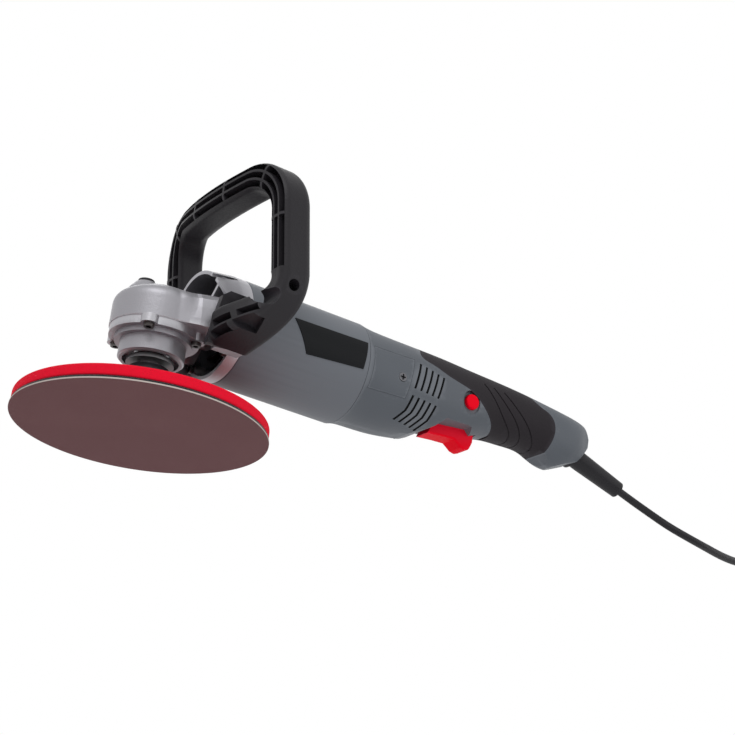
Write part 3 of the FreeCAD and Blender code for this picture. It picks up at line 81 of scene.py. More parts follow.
camera_data = bpy.data.cameras.new("camera")
camera_data.lens = LENS_MM
camera_data.sensor_width = 36.0
camera_data.clip_start = 0.01
camera_data.clip_end = 50.0
camera = bpy.data.objects.new("camera", camera_data)
bpy.context.scene.collection.objects.link(camera)
camera.matrix_world = Matrix(((right.x, up.x, back.x, eye.x), (right.y, up.y, back.y, eye.y),
                              (right.z, up.z, back.z, eye.z), (0, 0, 0, 1)))
bpy.context.scene.camera = camera
print("camera at", [round(v, 3) for v in eye])

# %% [markdown]
# ## The lead
#
# A mains lead is a length of something springy. It leaves the strain relief in line with it, curves
# down to the floor and ends in a stored coil. A mesh tube would need a new mesh for every change of
# route, so this is a NURBS curve with a round bevel: the control points are few, and the curve stays
# smooth between them. Order 3 and the end-point option are set after the points are added. Each point
# carries the lead's radius, because a curve's box grows by that number.

# %% Route of the lead
CORD_RADIUS = 3.1 * MM
CORD_ROUTE = [(0.432, 0, 0.077), (0.4473, 0, 0.0724), (0.463, -0.006, 0.064), (0.475, -0.016, 0.054),
              (0.483, -0.031, 0.0435), (0.485, -0.050, 0.032), (0.482, -0.071, 0.020),
              (0.478, -0.093, 0.0095), (0.474, -0.115, 0.0031), (0.472, -0.136, 0.0031),
              (0.4717, -0.151, 0.0031)]
TAIL_ROUTE = [(0.5522, -0.152, 0.0217), (0.553, -0.134, 0.0155), (0.551, -0.116, 0.0085)]
COIL_CENTRE = Vector((0.512, -0.166, 0))
COIL_MEAN_RADIUS = 0.034
TURNS_WIDE = 3
TURNS_HIGH = 4
POINTS_PER_TURN = 18
COIL_START = math.radians(180)

# %% Turns of the coil
# The turns go in across the lowest layer, out across the next, and so on to the top.
cells = []
for layer in range(TURNS_HIGH):
    order = range(TURNS_WIDE) if layer % 2 else reversed(range(TURNS_WIDE))
    for column in order:
        radius = COIL_MEAN_RADIUS + (column - (TURNS_WIDE - 1) / 2) * 2 * CORD_RADIUS
        cells.append((radius, CORD_RADIUS * (1 + 2 * layer)))

# a curve of order 3 cuts inside its control points, so they stand a little further out
OUTSET = 1 / math.cos(math.pi / POINTS_PER_TURN)
SHIFT_POINTS = 4
coil_points = []
for turn, (radius, height) in enumerate(cells):
    next_radius, next_height = cells[min(turn + 1, len(cells) - 1)]
    for k in range(POINTS_PER_TURN):
        share = max(0.0, (k - POINTS_PER_TURN + SHIFT_POINTS) / SHIFT_POINTS)
        angle = COIL_START + 2 * math.pi * k / POINTS_PER_TURN
        r = (radius + (next_radius - radius) * share) * OUTSET
        z = height + (next_height - height) * share
        coil_points.append((COIL_CENTRE.x + r * math.cos(angle), COIL_CENTRE.y + r * math.sin(angle), z))
# half a turn more, on top, to where the tail leaves
top_radius, top_height = cells[-1]
for k in range(POINTS_PER_TURN // 2 + 1):
    angle = COIL_START + 2 * math.pi * k / POINTS_PER_TURN
    coil_points.append((COIL_CENTRE.x + top_radius * OUTSET * math.cos(angle),
                        COIL_CENTRE.y + top_radius * OUTSET * math.sin(angle), top_height))
coil_points = coil_points[:-POINTS_PER_TURN]
print("coil points", len(coil_points), "turns", len(cells))

# %% The lead as one curve
lead_points = CORD_ROUTE + coil_points[1:] + TAIL_ROUTE
lead_data = bpy.data.curves.new("mains_lead", "CURVE")
lead_data.dimensions = "3D"
lead_data.bevel_depth = 1.0
lead_data.bevel_resolution = 4
lead_data.resolution_u = 4
lead_data.use_fill_caps = True
spline = lead_data.splines.new("NURBS")
spline.points.add(len(lead_points) - 1)
for point, place in zip(spline.points, lead_points):
    point.co = (*place, 1.0)
    point.radius = CORD_RADIUS
spline.order_u = 3
spline.use_endpoint_u = True
lead = bpy.data.objects.new("mains_lead", lead_data)
bpy.context.scene.collection.objects.link(lead)
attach(lead, "housing")
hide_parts("cord", "cord_coil", "cord_tail")
print("lead control points", len(lead_points))

# %% [markdown]
# ## Floor, background and light
#
# A studio picture has a white background without much light. The world gives white to camera rays
# and only a soft fill to everything else. The camera stands under the floor here, so the floor shows
# only to a camera ray that comes from above: there it is a plain pale sheet that keeps the tool's
# shadow. From below it is see-through, and it never blocks light, so the abrasive face is lit.

# %% Floor
FLOOR_HALF = 4.0
FLOOR_DROP = 0.0004
FADE_CENTRE = (0.24, -0.05, 0.0)
FADE_START = 0.30
FADE_END = 0.75
floor_mesh = bpy.data.meshes.new("floor")
floor_mesh.from_pydata([(-FLOOR_HALF, -FLOOR_HALF, -FLOOR_DROP), (FLOOR_HALF, -FLOOR_HALF, -FLOOR_DROP),
                        (FLOOR_HALF, FLOOR_HALF, -FLOOR_DROP), (-FLOOR_HALF, FLOOR_HALF, -FLOOR_DROP)],
                       [], [(0, 1, 2, 3)])
floor = bpy.data.objects.new("floor", floor_mesh)
bpy.context.scene.collection.objects.link(floor)

floor_material = bpy.data.materials.new("floor")
floor_material.use_nodes = True
tree = floor_material.node_tree
tree.nodes.clear()
output = tree.nodes.new("ShaderNodeOutputMaterial")
pale = tree.nodes.new("ShaderNodeBsdfDiffuse")
pale.inputs["Color"].default_value = (0.80, 0.80, 0.80, 1)
clear = tree.nodes.new("ShaderNodeBsdfTransparent")
geometry = tree.nodes.new("ShaderNodeNewGeometry")
path = tree.nodes.new("ShaderNodeLightPath")
from_above = tree.nodes.new("ShaderNodeMath")
from_above.operation = "SUBTRACT"
from_above.use_clamp = True
mix = tree.nodes.new("ShaderNodeMixShader")
tree.links.new(path.outputs["Is Camera Ray"], from_above.inputs[0])
tree.links.new(geometry.outputs["Backfacing"], from_above.inputs[1])
# the sheet fades into the white background with distance from the tool
place = tree.nodes.new("ShaderNodeTexCoord")
distance = tree.nodes.new("ShaderNodeVectorMath")
distance.operation = "DISTANCE"
distance.inputs[1].default_value = FADE_CENTRE
fade = tree.nodes.new("ShaderNodeMapRange")
fade.interpolation_type = "SMOOTHSTEP"
fade.inputs["From Min"].default_value = FADE_START
fade.inputs["From Max"].default_value = FADE_END
fade.inputs["To Min"].default_value = 1.0
fade.inputs["To Max"].default_value = 0.0
shown = tree.nodes.new("ShaderNodeMath")
shown.operation = "MULTIPLY"
tree.links.new(place.outputs["Object"], distance.inputs[0])
tree.links.new(distance.outputs["Value"], fade.inputs["Value"])
tree.links.new(from_above.outputs[0], shown.inputs[0])
tree.links.new(fade.outputs["Result"], shown.inputs[1])
tree.links.new(shown.outputs[0], mix.inputs[0])
tree.links.new(clear.outputs[0], mix.inputs[1])
tree.links.new(pale.outputs[0], mix.inputs[2])
tree.links.new(mix.outputs[0], output.inputs["Surface"])
floor_mesh.materials.append(floor_material)

# %% World
WORLD_FILL = 0.5
world = bpy.data.worlds.new("studio")
bpy.context.scene.world = world
world.use_nodes = True
tree = world.node_tree
tree.nodes.clear()
output = tree.nodes.new("ShaderNodeOutputWorld")
seen = tree.nodes.new("ShaderNodeBackground")
seen.inputs["Color"].default_value = (1, 1, 1, 1)
seen.inputs["Strength"].default_value = 1.0
fill = tree.nodes.new("ShaderNodeBackground")
fill.inputs["Color"].default_value = (1, 1, 1, 1)
fill.inputs["Strength"].default_value = WORLD_FILL
path = tree.nodes.new("ShaderNodeLightPath")
camera_or_glossy = tree.nodes.new("ShaderNodeMath")
camera_or_glossy.operation = "MAXIMUM"
any_seen = tree.nodes.new("ShaderNodeMath")
any_seen.operation = "MAXIMUM"
mix = tree.nodes.new("ShaderNodeMixShader")
tree.links.new(path.outputs["Is Camera Ray"], camera_or_glossy.inputs[0])
tree.links.new(path.outputs["Is Glossy Ray"], camera_or_glossy.inputs[1])
tree.links.new(camera_or_glossy.outputs[0], any_seen.inputs[0])
tree.links.new(path.outputs["Is Transmission Ray"], any_seen.inputs[1])
tree.links.new(any_seen.outputs[0], mix.inputs[0])
tree.links.new(fill.outputs[0], mix.inputs[1])
tree.links.new(seen.outputs[0], mix.inputs[2])
tree.links.new(mix.outputs[0], output.inputs["Surface"])
bpy.context.scene.view_settings.view_transform = "Standard"

# %% Lamps
def soft_lamp(name, place, target, size, watts):
    """Square area lamp that looks from its place to a target."""
    data = bpy.data.lights.new(name, "AREA")
    data.shape = "SQUARE"
    data.size = size
    data.energy = watts
    lamp = bpy.data.objects.new(name, data)
    bpy.context.scene.collection.objects.link(lamp)
    lamp.location = place
    lamp.rotation_euler = (Vector(target) - Vector(place)).to_track_quat("-Z", "Y").to_euler()
    return lamp


TOOL_MIDDLE = (0.15, 0, 0.09)
soft_lamp("key", (-0.9, -1.1, 1.6), TOOL_MIDDLE, 1.0, 13)
soft_lamp("side", (1.4, -1.6, 0.5), TOOL_MIDDLE, 1.2, 4)
soft_lamp("under", (-0.2, -1.2, -1.2), TOOL_MIDDLE, 1.2, 5)
soft_lamp("rim", (0.6, 1.5, 1.2), TOOL_MIDDLE, 1.0, 6)

# %% [markdown]
# ## Finishes
#
# Each finish is a small node tree on the Principled shader. What several finishes share, such as a
# moulded grain or worn edges, is a node group with its own named inputs, so that it is built once.
# The groups only put out values; the shader itself stays in each material, where an export can read it.

# %% Helpers for materials and pieces
# the colour sockets of a Mix node have no names of their own, only places
MIX_SHARE = 0
MIX_FIRST = 6
MIX_SECOND = 7
MIX_RESULT = 2


def linear(red, green, blue):
    """Linear colour of an 8-bit display colour."""
    values = []
    for level in (red, green, blue):
        c = level / 255
        values.append(c / 12.92 if c <= 0.04045 else ((c + 0.055) / 1.055) ** 2.4)
    return (*values, 1.0)


def new_group(name, inputs, outputs):
    """Empty shader group; inputs are (name, default) and outputs are names."""
    group = bpy.data.node_groups.new(name, "ShaderNodeTree")
    for title, default in inputs:
        socket = group.interface.new_socket(title, in_out="INPUT", socket_type="NodeSocketFloat")
        socket.default_value = default
    for title in outputs:
        group.interface.new_socket(title, in_out="OUTPUT", socket_type="NodeSocketFloat")
    return group, group.nodes.new("NodeGroupInput"), group.nodes.new("NodeGroupOutput")


def math_node(tree, operation, a, b):
    """Math node; a and b are sockets or numbers."""
    node = tree.nodes.new("ShaderNodeMath")
    node.operation = operation
    for i, value in enumerate((a, b)):
        if isinstance(value, (int, float)):
            node.inputs[i].default_value = value
        else:
            tree.links.new(value, node.inputs[i])
    return node.outputs[0]


def mix_colours(tree, share, first, second):
    """Mix of two colours or colour sockets; the share of the second is a socket."""
    node = tree.nodes.new("ShaderNodeMix")
    node.data_type = "RGBA"
    tree.links.new(share, node.inputs[MIX_SHARE])
    for i, value in ((MIX_FIRST, first), (MIX_SECOND, second)):
        if isinstance(value, tuple):
            node.inputs[i].default_value = value
        else:
            tree.links.new(value, node.inputs[i])
    return node.outputs[MIX_RESULT]


def mesh_piece(name, work, material, smooth=True):
    """Object from a mesh in the making, with its faces turned outwards and one material."""
    bmesh.ops.recalc_face_normals(work, faces=work.faces)
    mesh = bpy.data.meshes.new(name)
    work.to_mesh(mesh)
    work.free()
    for face in mesh.polygons:
        face.use_smooth = smooth
    mesh.materials.append(material)
    piece = bpy.data.objects.new(name, mesh)
    bpy.context.scene.collection.objects.link(piece)
    return piece


# %% Group: moulded grain
# Two sizes of noise make the fine pebbled skin that a spark-eroded mould leaves on plastic.
grain, grain_in, grain_out = new_group("moulded_grain", [("Scale", 900.0), ("Coarse share", 0.4)], ["Height"])
coordinates = grain.nodes.new("ShaderNodeTexCoord")
fine = grain.nodes.new("ShaderNodeTexNoise")
fine.inputs["Detail"].default_value = 2.0
cells_texture = grain.nodes.new("ShaderNodeTexVoronoi")
grain.links.new(coordinates.outputs["Object"], fine.inputs["Vector"])
grain.links.new(coordinates.outputs["Object"], cells_texture.inputs["Vector"])
grain.links.new(grain_in.outputs["Scale"], fine.inputs["Scale"])
grain.links.new(math_node(grain, "MULTIPLY", grain_in.outputs["Scale"], 0.45), cells_texture.inputs["Scale"])
coarse = math_node(grain, "MULTIPLY", cells_texture.outputs["Distance"], grain_in.outputs["Coarse share"])
grain.links.new(math_node(grain, "ADD", fine.outputs["Fac"], coarse), grain_out.inputs["Height"])

# %% Group: handling marks
# Slow, soft variation, as from hands and polish, that breaks up an even gloss.
marks, marks_in, marks_out = new_group("handling_marks", [("Scale", 25.0), ("Amount", 0.1)], ["Mask"])
coordinates = marks.nodes.new("ShaderNodeTexCoord")
cloud = marks.nodes.new("ShaderNodeTexNoise")
cloud.inputs["Detail"].default_value = 5.0
cloud.inputs["Roughness"].default_value = 0.6
marks.links.new(coordinates.outputs["Object"], cloud.inputs["Vector"])
marks.links.new(marks_in.outputs["Scale"], cloud.inputs["Scale"])
centred = math_node(marks, "SUBTRACT", cloud.outputs["Fac"], 0.5)
marks.links.new(math_node(marks, "MULTIPLY", centred, marks_in.outputs["Amount"]), marks_out.inputs["Mask"])

# %% Group: worn edges
# Pointiness is high where a surface turns outwards, which is where a case rubs and lightens.
wear, wear_in, wear_out = new_group("worn_edges", [("Start", 0.52), ("Amount", 0.5)], ["Mask"])
shape = wear.nodes.new("ShaderNodeNewGeometry")
above = math_node(wear, "SUBTRACT", shape.outputs["Pointiness"], wear_in.outputs["Start"])
steep = math_node(wear, "MULTIPLY", above, 14.0)
capped = math_node(wear, "MINIMUM", math_node(wear, "MAXIMUM", steep, 0.0), 1.0)
wear.links.new(math_node(wear, "MULTIPLY", capped, wear_in.outputs["Amount"]), wear_out.inputs["Mask"])
print("shader groups", [g.name for g in bpy.data.node_groups])


# %% A finish from its groups
def place_group(tree, group, **values):
    """Group node with some of its inputs set."""
    node = tree.nodes.new("ShaderNodeGroup")
    node.node_tree = group
    for title, value in values.items():
        node.inputs[title.replace("_", " ")].default_value = value
    return node


def finish(name, colour, edge_colour, roughness, grain_scale, grain_depth, metallic=0.0, coarse=0.4,
           marks_scale=25.0, colour_marks=0.10, roughness_marks=0.15, wear_start=0.53, wear_amount=0.5,
           specular=0.5):
    """Principled material with grain, handling marks and worn edges."""
    material = bpy.data.materials.new(name)
    material.use_nodes = True
    tree = material.node_tree
    shader = tree.nodes["Principled BSDF"]
    shader.inputs["Metallic"].default_value = metallic
    shader.inputs["Specular IOR Level"].default_value = specular
    soft = place_group(tree, marks, Scale=marks_scale, Amount=1.0)
    rub = place_group(tree, wear, Start=wear_start, Amount=wear_amount)
    # colour: the base, a little lighter and darker in clouds, and paler on the edges
    darker = tuple(c * (1 - colour_marks) for c in colour[:3]) + (1,)
    lighter = tuple(min(1, c * (1 + colour_marks)) for c in colour[:3]) + (1,)
    clouded = mix_colours(tree, math_node(tree, "ADD", soft.outputs["Mask"], 0.5), darker, lighter)
    tree.links.new(mix_colours(tree, rub.outputs["Mask"], clouded, edge_colour), shader.inputs["Base Color"])
    spread = math_node(tree, "MULTIPLY", soft.outputs["Mask"], roughness_marks)
    tree.links.new(math_node(tree, "ADD", spread, roughness), shader.inputs["Roughness"])
    skin = place_group(tree, grain, Scale=grain_scale, Coarse_share=coarse)
    bump = tree.nodes.new("ShaderNodeBump")
    bump.inputs["Strength"].default_value = 1.0
    bump.inputs["Distance"].default_value = grain_depth
    tree.links.new(skin.outputs["Height"], bump.inputs["Height"])
    tree.links.new(bump.outputs["Normal"], shader.inputs["Normal"])
    return material


# %% [markdown]
# The colours below are plain display colours of each part: a grey nylon case, a black glass-filled
# loop, an overmoulded rubber grip, red switch parts and a bead-blasted casting.

# %% The finishes
finishes = {
    "grey_plastic": finish("grey_plastic", linear(91, 96, 103), linear(128, 132, 139), 0.50, 1500, 0.00006,
                           specular=0.3),
    "black_plastic": finish("black_plastic", linear(32, 30, 34), linear(62, 60, 66), 0.48, 1100, 0.00010,
                            coarse=0.7, specular=0.25),
    "soft_grip": finish("soft_grip", linear(38, 34, 38), linear(58, 55, 60), 0.70, 1400, 0.00010, coarse=0.6,
                        specular=0.2),
    "red_plastic": finish("red_plastic", linear(255, 0, 34), linear(255, 40, 70), 0.50, 1200, 0.00003,
                          colour_marks=0.02, specular=0.06),
    "cast_aluminium": finish("cast_aluminium", linear(152, 151, 156), linear(196, 196, 200), 0.46, 1300,
                             0.00010, metallic=0.9, coarse=0.5, marks_scale=40, colour_marks=0.07),
    "steel": finish("steel", linear(92, 92, 95), linear(150, 150, 152), 0.42, 700, 0.00001, metallic=1.0),
    "bearing_steel": finish("bearing_steel", linear(158, 158, 162), linear(205, 205, 208), 0.22, 900,
                            0.000005, metallic=1.0),
    "black_screw": finish("black_screw", linear(30, 29, 31), linear(96, 94, 92), 0.36, 1500, 0.00002,
                          metallic=0.5, wear_amount=0.7, specular=0.3),
    "pin_metal": finish("pin_metal", linear(190, 188, 180), linear(225, 223, 218), 0.20, 800, 0.000005,
                        metallic=1.0),
    "laminations": finish("laminations", linear(110, 110, 114), linear(150, 150, 154), 0.45, 800, 0.00003,
                          metallic=0.8),
    "copper": finish("copper", linear(184, 104, 62), linear(220, 146, 100), 0.32, 900, 0.00004, metallic=0.9),
    "carbon": finish("carbon", linear(46, 46, 48), linear(80, 80, 84), 0.55, 1500, 0.00003),
    "cord_rubber": finish("cord_rubber", linear(27, 26, 30), linear(50, 49, 54), 0.52, 1300, 0.00005,
                          specular=0.25),
}

# %% Abrasive face, hook layer and foam
def speckle(tree, scale, low, high):
    """Mask of small grains, 0 to 1."""
    coordinates = tree.nodes.new("ShaderNodeTexCoord")
    noise = tree.nodes.new("ShaderNodeTexNoise")
    noise.inputs["Scale"].default_value = scale
    noise.inputs["Detail"].default_value = 3.0
    tree.links.new(coordinates.outputs["Object"], noise.inputs["Vector"])
    ramp = tree.nodes.new("ShaderNodeMapRange")
    ramp.inputs["From Min"].default_value = low
    ramp.inputs["From Max"].default_value = high
    tree.links.new(noise.outputs["Fac"], ramp.inputs["Value"])
    return ramp.outputs["Result"]


def grainy(name, colour, grain_colour, scale, roughness, depth, low=0.5, high=0.75, sheen=0.0,
           rim_colour=None):
    """Material whose colour and height both come from grains; a rim colour is for the cut edge of a sheet."""
    material = bpy.data.materials.new(name)
    material.use_nodes = True
    tree = material.node_tree
    shader = tree.nodes["Principled BSDF"]
    shader.inputs["Sheen Weight"].default_value = sheen
    shader.inputs["Specular IOR Level"].default_value = 0.25
    mask = speckle(tree, scale, low, high)
    cloud = place_group(tree, marks, Scale=18.0, Amount=0.5)
    surface = mix_colours(tree, math_node(tree, "ADD", mask, cloud.outputs["Mask"]), colour, grain_colour)
    if rim_colour:
        facing = tree.nodes.new("ShaderNodeSeparateXYZ")
        coordinates = tree.nodes.new("ShaderNodeTexCoord")
        tree.links.new(coordinates.outputs["Normal"], facing.inputs["Vector"])
        flatness = math_node(tree, "ABSOLUTE", facing.outputs["Z"], 0.0)
        surface = mix_colours(tree, flatness, rim_colour, surface)
    tree.links.new(surface, shader.inputs["Base Color"])
    tree.links.new(math_node(tree, "ADD", math_node(tree, "MULTIPLY", mask, -0.15), roughness),
                   shader.inputs["Roughness"])
    bump = tree.nodes.new("ShaderNodeBump")
    bump.inputs["Distance"].default_value = depth
    tree.links.new(mask, bump.inputs["Height"])
    tree.links.new(bump.outputs["Normal"], shader.inputs["Normal"])
    return material


finishes["abrasive"] = grainy("abrasive", linear(104, 68, 71), linear(134, 98, 98), 2200, 0.85, 0.0001,
                              rim_colour=linear(206, 196, 190))
finishes["hook_cloth"] = grainy("hook_cloth", linear(40, 38, 40), linear(90, 86, 88), 1800, 0.9, 0.0002,
                                sheen=0.3)
finishes["foam"] = grainy("foam", linear(252, 0, 46), linear(226, 0, 36), 1500, 0.85, 0.00015)
finishes["strap"] = grainy("strap", linear(30, 30, 32), linear(62, 62, 66), 2600, 0.85, 0.0002, sheen=0.3)

# %% Give every CAD node its finish
# a few nodes differ from the others of their material
SPECIAL = {"cord_tie": "strap", "cover_screw_left": "dark_steel", "cover_screw_right": "dark_steel"}
finishes["dark_steel"] = finish("dark_steel", linear(52, 52, 55), linear(120, 120, 124), 0.35, 700, 0.00001,
                                metallic=1.0)
slots = {part["node"]: part["material_slot"] for part in frame["record"]["subparts"]}
for name, piece in nodes.items():
    key = SPECIAL.get(name, slots[name])
    for material_slot in piece.material_slots:
        material_slot.material = finishes[key]
lead_data.materials.append(finishes["cord_rubber"])
print("finishes", len(finishes), "nodes dressed", len(nodes))

# %% [markdown]
# ## The foam pad
#
# Foam isn't a hard disc: its rim swells a little between the two faces and its edges are soft. A
# turned profile gives that, spun round the spindle axis in many steps so that the rim stays round.

# %% Foam pad
PAD_RADIUS = 0.0892
FOAM_LOW = 0.00252
FOAM_HIGH = 0.0115
RIM_SOFTNESS = 0.0022
RIM_POINTS = 7
SPIN_STEPS = 192


def spun(name, profile, steps, material):
    """Closed mesh from a profile of (radius, z) turned about the spindle axis; its ends are on the axis."""
    work = bmesh.new()
    rings = []
    for radius, z in profile:
        if radius < 1e-6:
            rings.append([work.verts.new((0, 0, z))])
        else:
            ring = []
            for i in range(steps):
                turn = 2 * math.pi * i / steps
                ring.append(work.verts.new((radius * math.cos(turn), radius * math.sin(turn), z)))
            rings.append(ring)
    for lower, upper in zip(rings, rings[1:]):
        for i in range(steps):
            j = (i + 1) % steps
            corners = [lower[i % len(lower)], lower[j % len(lower)],
                       upper[j % len(upper)], upper[i % len(upper)]]
            # a ring on the axis is one point, so its faces are triangles
            work.faces.new([v for k, v in enumerate(corners) if v not in corners[:k]])
    return mesh_piece(name, work, material)


rim = []
for k in range(RIM_POINTS):
    turn = math.pi / 2 * k / (RIM_POINTS - 1)
    rim.append((PAD_RADIUS - RIM_SOFTNESS * (1 - math.sin(turn)),
                FOAM_LOW + RIM_SOFTNESS * (1 - math.cos(turn))))
rim += [(r, FOAM_LOW + FOAM_HIGH - z) for r, z in reversed(rim)]
foam_pad = spun("foam_pad_soft", [(0, FOAM_LOW)] + rim + [(0, FOAM_HIGH)], SPIN_STEPS, finishes["foam"])
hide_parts("foam_pad")
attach(foam_pad, "spindle")
print("foam pad faces", len(foam_pad.data.polygons))

# %% [markdown]
# ## Skin of the gear case
#
# The casting of the solid model is open round the shoulder of its nose, where its gear space is wider
# than its outside. A thin cast skin closes that band. Its rows run from one flank round the nose to
# the other flank, fuller than the casting at the nose and dipping into it at both ends. A low boss
# stands round the spindle lock's button. Both are display shapes: the solid model has neither.

# %% Rows of the skin
# radius or half width, and height, of the casting at the nose and at the lugs, in millimetres
CAST_NOSE = [(32.5, 72.4), (32.5, 77.0), (30.0, 85.0), (27.0, 92.0), (24.0, 96.0), (21.0, 100.0),
             (15.0, 103.2), (12.0, 103.9)]
CAST_LUGS = [(41.5, 72.4), (41.5, 77.0), (41.5, 87.0), (41.5, 93.5), (37.5, 98.0), (26.0, 100.5),
             (15.0, 102.8), (12.0, 103.4)]
SKIN_NOSE = [(32.7, 72.4), (32.7, 77.0), (32.7, 85.0), (32.3, 91.0), (29.4, 95.6), (22.2, 100.0),
             (15.3, 103.4), (11.5, 103.7)]
SKIN_END = 14.5          # how far behind the spindle the skin reaches
MIDDLE_X = 15.0          # here the casting has this share of its widening towards the lugs
MIDDLE_SHARE = 0.65
SKIN_DIP = 0.15          # how deep its ends lie in the casting
ROWS_BETWEEN = 6
FLANK_STEPS = 10
NOSE_STEPS = 72


def between(points, place, smooth):
    """Point of a profile at a place counted in its points, on straight runs or on a smooth curve."""
    i = min(int(place), len(points) - 2)
    t = place - i
    a, b = Vector(points[i]), Vector(points[i + 1])
    if not smooth:
        return a.lerp(b, t)
    before = Vector(points[max(i - 1, 0)])
    after = Vector(points[min(i + 2, len(points) - 1)])
    return 0.5 * (2 * a + (b - before) * t + (2 * before - 5 * a + 4 * b - after) * t ** 2
                  + (3 * a - before - 3 * b + after) * t ** 3)


def skin_point(place, x):
    """Half width and height of the skin at a place of the profile, at a distance behind the nose."""
    fade = x / SKIN_END
    fullness = 1 - fade * fade * (3 - 2 * fade)
    share = MIDDLE_SHARE * x / MIDDLE_X
    cast = between(CAST_NOSE, place, False).lerp(between(CAST_LUGS, place, False), share)
    bulge = between(SKIN_NOSE, place, True) - between(CAST_NOSE, place, False)
    dip = Vector((SKIN_DIP, SKIN_DIP)) * (1 - fullness)
    return cast + bulge * fullness - dip


def skin_row(place):
    """Points of one row, from the left flank round the nose to the right flank."""
    left = []
    for i in range(FLANK_STEPS + 1):
        x = SKIN_END * (1 - i / FLANK_STEPS)
        width, height = skin_point(place, x)
        left.append(Vector((x, -width, height)))
    radius, height = skin_point(place, 0)
    nose = []
    for i in range(1, NOSE_STEPS):
        turn = math.pi * i / NOSE_STEPS
        nose.append(Vector((-radius * math.sin(turn), -radius * math.cos(turn), height)))
    right = [Vector((v.x, -v.y, v.z)) for v in reversed(left)]
    return left + nose + right


# %% The skin as a mesh
LOCK_X = -12.9
BOSS_COVER = 9.0
SKIN_THICKNESS = 0.0009

skin_rows = []
row_count = (len(CAST_NOSE) - 1) * ROWS_BETWEEN
for k in range(row_count + 1):
    skin_rows.append(skin_row(k / ROWS_BETWEEN))
work = bmesh.new()
grid = [[work.verts.new(place * MM) for place in row] for row in skin_rows]
button_axis = Vector((LOCK_X, 0)) * MM
for lower, upper in zip(grid, grid[1:]):
    for i in range(len(lower) - 1):
        corners = (lower[i], lower[i + 1], upper[i + 1], upper[i])
        middle = sum((v.co for v in corners), Vector()) / 4
        # the lock's boss covers the hole that its button needs
        if (middle.xy - button_axis).length > BOSS_COVER * MM:
            work.faces.new(corners)
loose = [v for v in work.verts if not v.link_faces]
bmesh.ops.delete(work, geom=loose, context="VERTS")
skin = mesh_piece("gear_case_skin", work, finishes["cast_aluminium"])
thicken = skin.modifiers.new("wall", "SOLIDIFY")
thicken.thickness = SKIN_THICKNESS
thicken.offset = -1
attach(skin, "housing")
print("skin faces", len(skin.data.polygons))

# %% Boss round the lock's button
BOSS_PROFILE = [(6.3, 98.0), (6.3, 105.6), (6.6, 105.9), (7.4, 105.9), (8.0, 105.5), (11.5, 101.0),
                (15.5, 95.0), (15.5, 94.0), (14.0, 94.0)]
BOSS_STEPS = 64


def ring(name, profile, centre, steps, material):
    """Closed ring from a closed profile of (radius, z) turned about an upright axis."""
    work = bmesh.new()
    turns = []
    for i in range(steps):
        angle = 2 * math.pi * i / steps
        turns.append([work.verts.new(((centre[0] + r * math.cos(angle)) * MM,
                                      (centre[1] + r * math.sin(angle)) * MM, z * MM)) for r, z in profile])
    for a, b in zip(turns, turns[1:] + turns[:1]):
        for k in range(len(profile)):
            n = (k + 1) % len(profile)
            work.faces.new((a[k], a[n], b[n], b[k]))
    return mesh_piece(name, work, material)


lock_boss = ring("lock_boss", BOSS_PROFILE, (LOCK_X, 0), BOSS_STEPS, finishes["cast_aluminium"])
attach(lock_boss, "housing")
print("lock boss faces", len(lock_boss.data.polygons))

# %% [markdown]
# ## Badge plates
#
# A thin plate with slanted ends lies on each flank of the motor case. It follows the round case, so
# each of its points is set out flat first, along the case and round it, and then wrapped. Both
# plates are left bare.

# %% Badge plates
SHAFT_HEIGHT = 0.0919
CASE_RADIUS = 0.0394
BADGE_LIFT = 0.0006
BADGE_SINK = 0.0002
BADGE_CORNERS = [(0.0889, 0.1029), (0.1530, 0.1046), (0.1508, 0.0828), (0.1023, 0.0791)]
BADGE_ACROSS = 24
BADGE_DOWN = 10
BADGE_EDGE = 0.00025


def badge_point(u, v):
    """Point of the plate's flat outline; u runs along it and v down it, both 0 to 1."""
    upper = Vector(BADGE_CORNERS[0]).lerp(Vector(BADGE_CORNERS[1]), u)
    lower = Vector(BADGE_CORNERS[3]).lerp(Vector(BADGE_CORNERS[2]), u)
    return upper.lerp(lower, v)


def wrapped(x, z, radius, side):
    """Point at the given radius of the case, at side height z."""
    angle = math.asin((z - SHAFT_HEIGHT) / CASE_RADIUS)
    return (x, side * radius * math.cos(angle), SHAFT_HEIGHT + radius * math.sin(angle))


def badge_plate(name, side):
    """Bare plate on one flank of the motor case."""
    work = bmesh.new()
    layers = []
    for radius in (CASE_RADIUS - BADGE_SINK, CASE_RADIUS + BADGE_LIFT):
        grid = []
        for j in range(BADGE_DOWN + 1):
            row = []
            for i in range(BADGE_ACROSS + 1):
                place = badge_point(i / BADGE_ACROSS, j / BADGE_DOWN)
                row.append(work.verts.new(wrapped(place.x, place.y, radius, side)))
            grid.append(row)
        layers.append(grid)
    for grid in layers:
        for j in range(BADGE_DOWN):
            for i in range(BADGE_ACROSS):
                work.faces.new((grid[j][i], grid[j][i + 1], grid[j + 1][i + 1], grid[j + 1][i]))
    inner, outer = layers
    loop = [(0, i) for i in range(BADGE_ACROSS)] + [(j, BADGE_ACROSS) for j in range(BADGE_DOWN)]
    loop += [(BADGE_DOWN, i) for i in range(BADGE_ACROSS, 0, -1)] + [(j, 0) for j in range(BADGE_DOWN, 0, -1)]
    for (j, i), (n, m) in zip(loop, loop[1:] + loop[:1]):
        work.faces.new((inner[j][i], inner[n][m], outer[n][m], outer[j][i]))
    piece = mesh_piece(name, work, finishes["badge"], smooth=False)
    soften = piece.modifiers.new("soft_edge", "BEVEL")
    soften.width = BADGE_EDGE
    soften.segments = 2
    soften.limit_method = "ANGLE"
    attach(piece, "housing")
    return piece


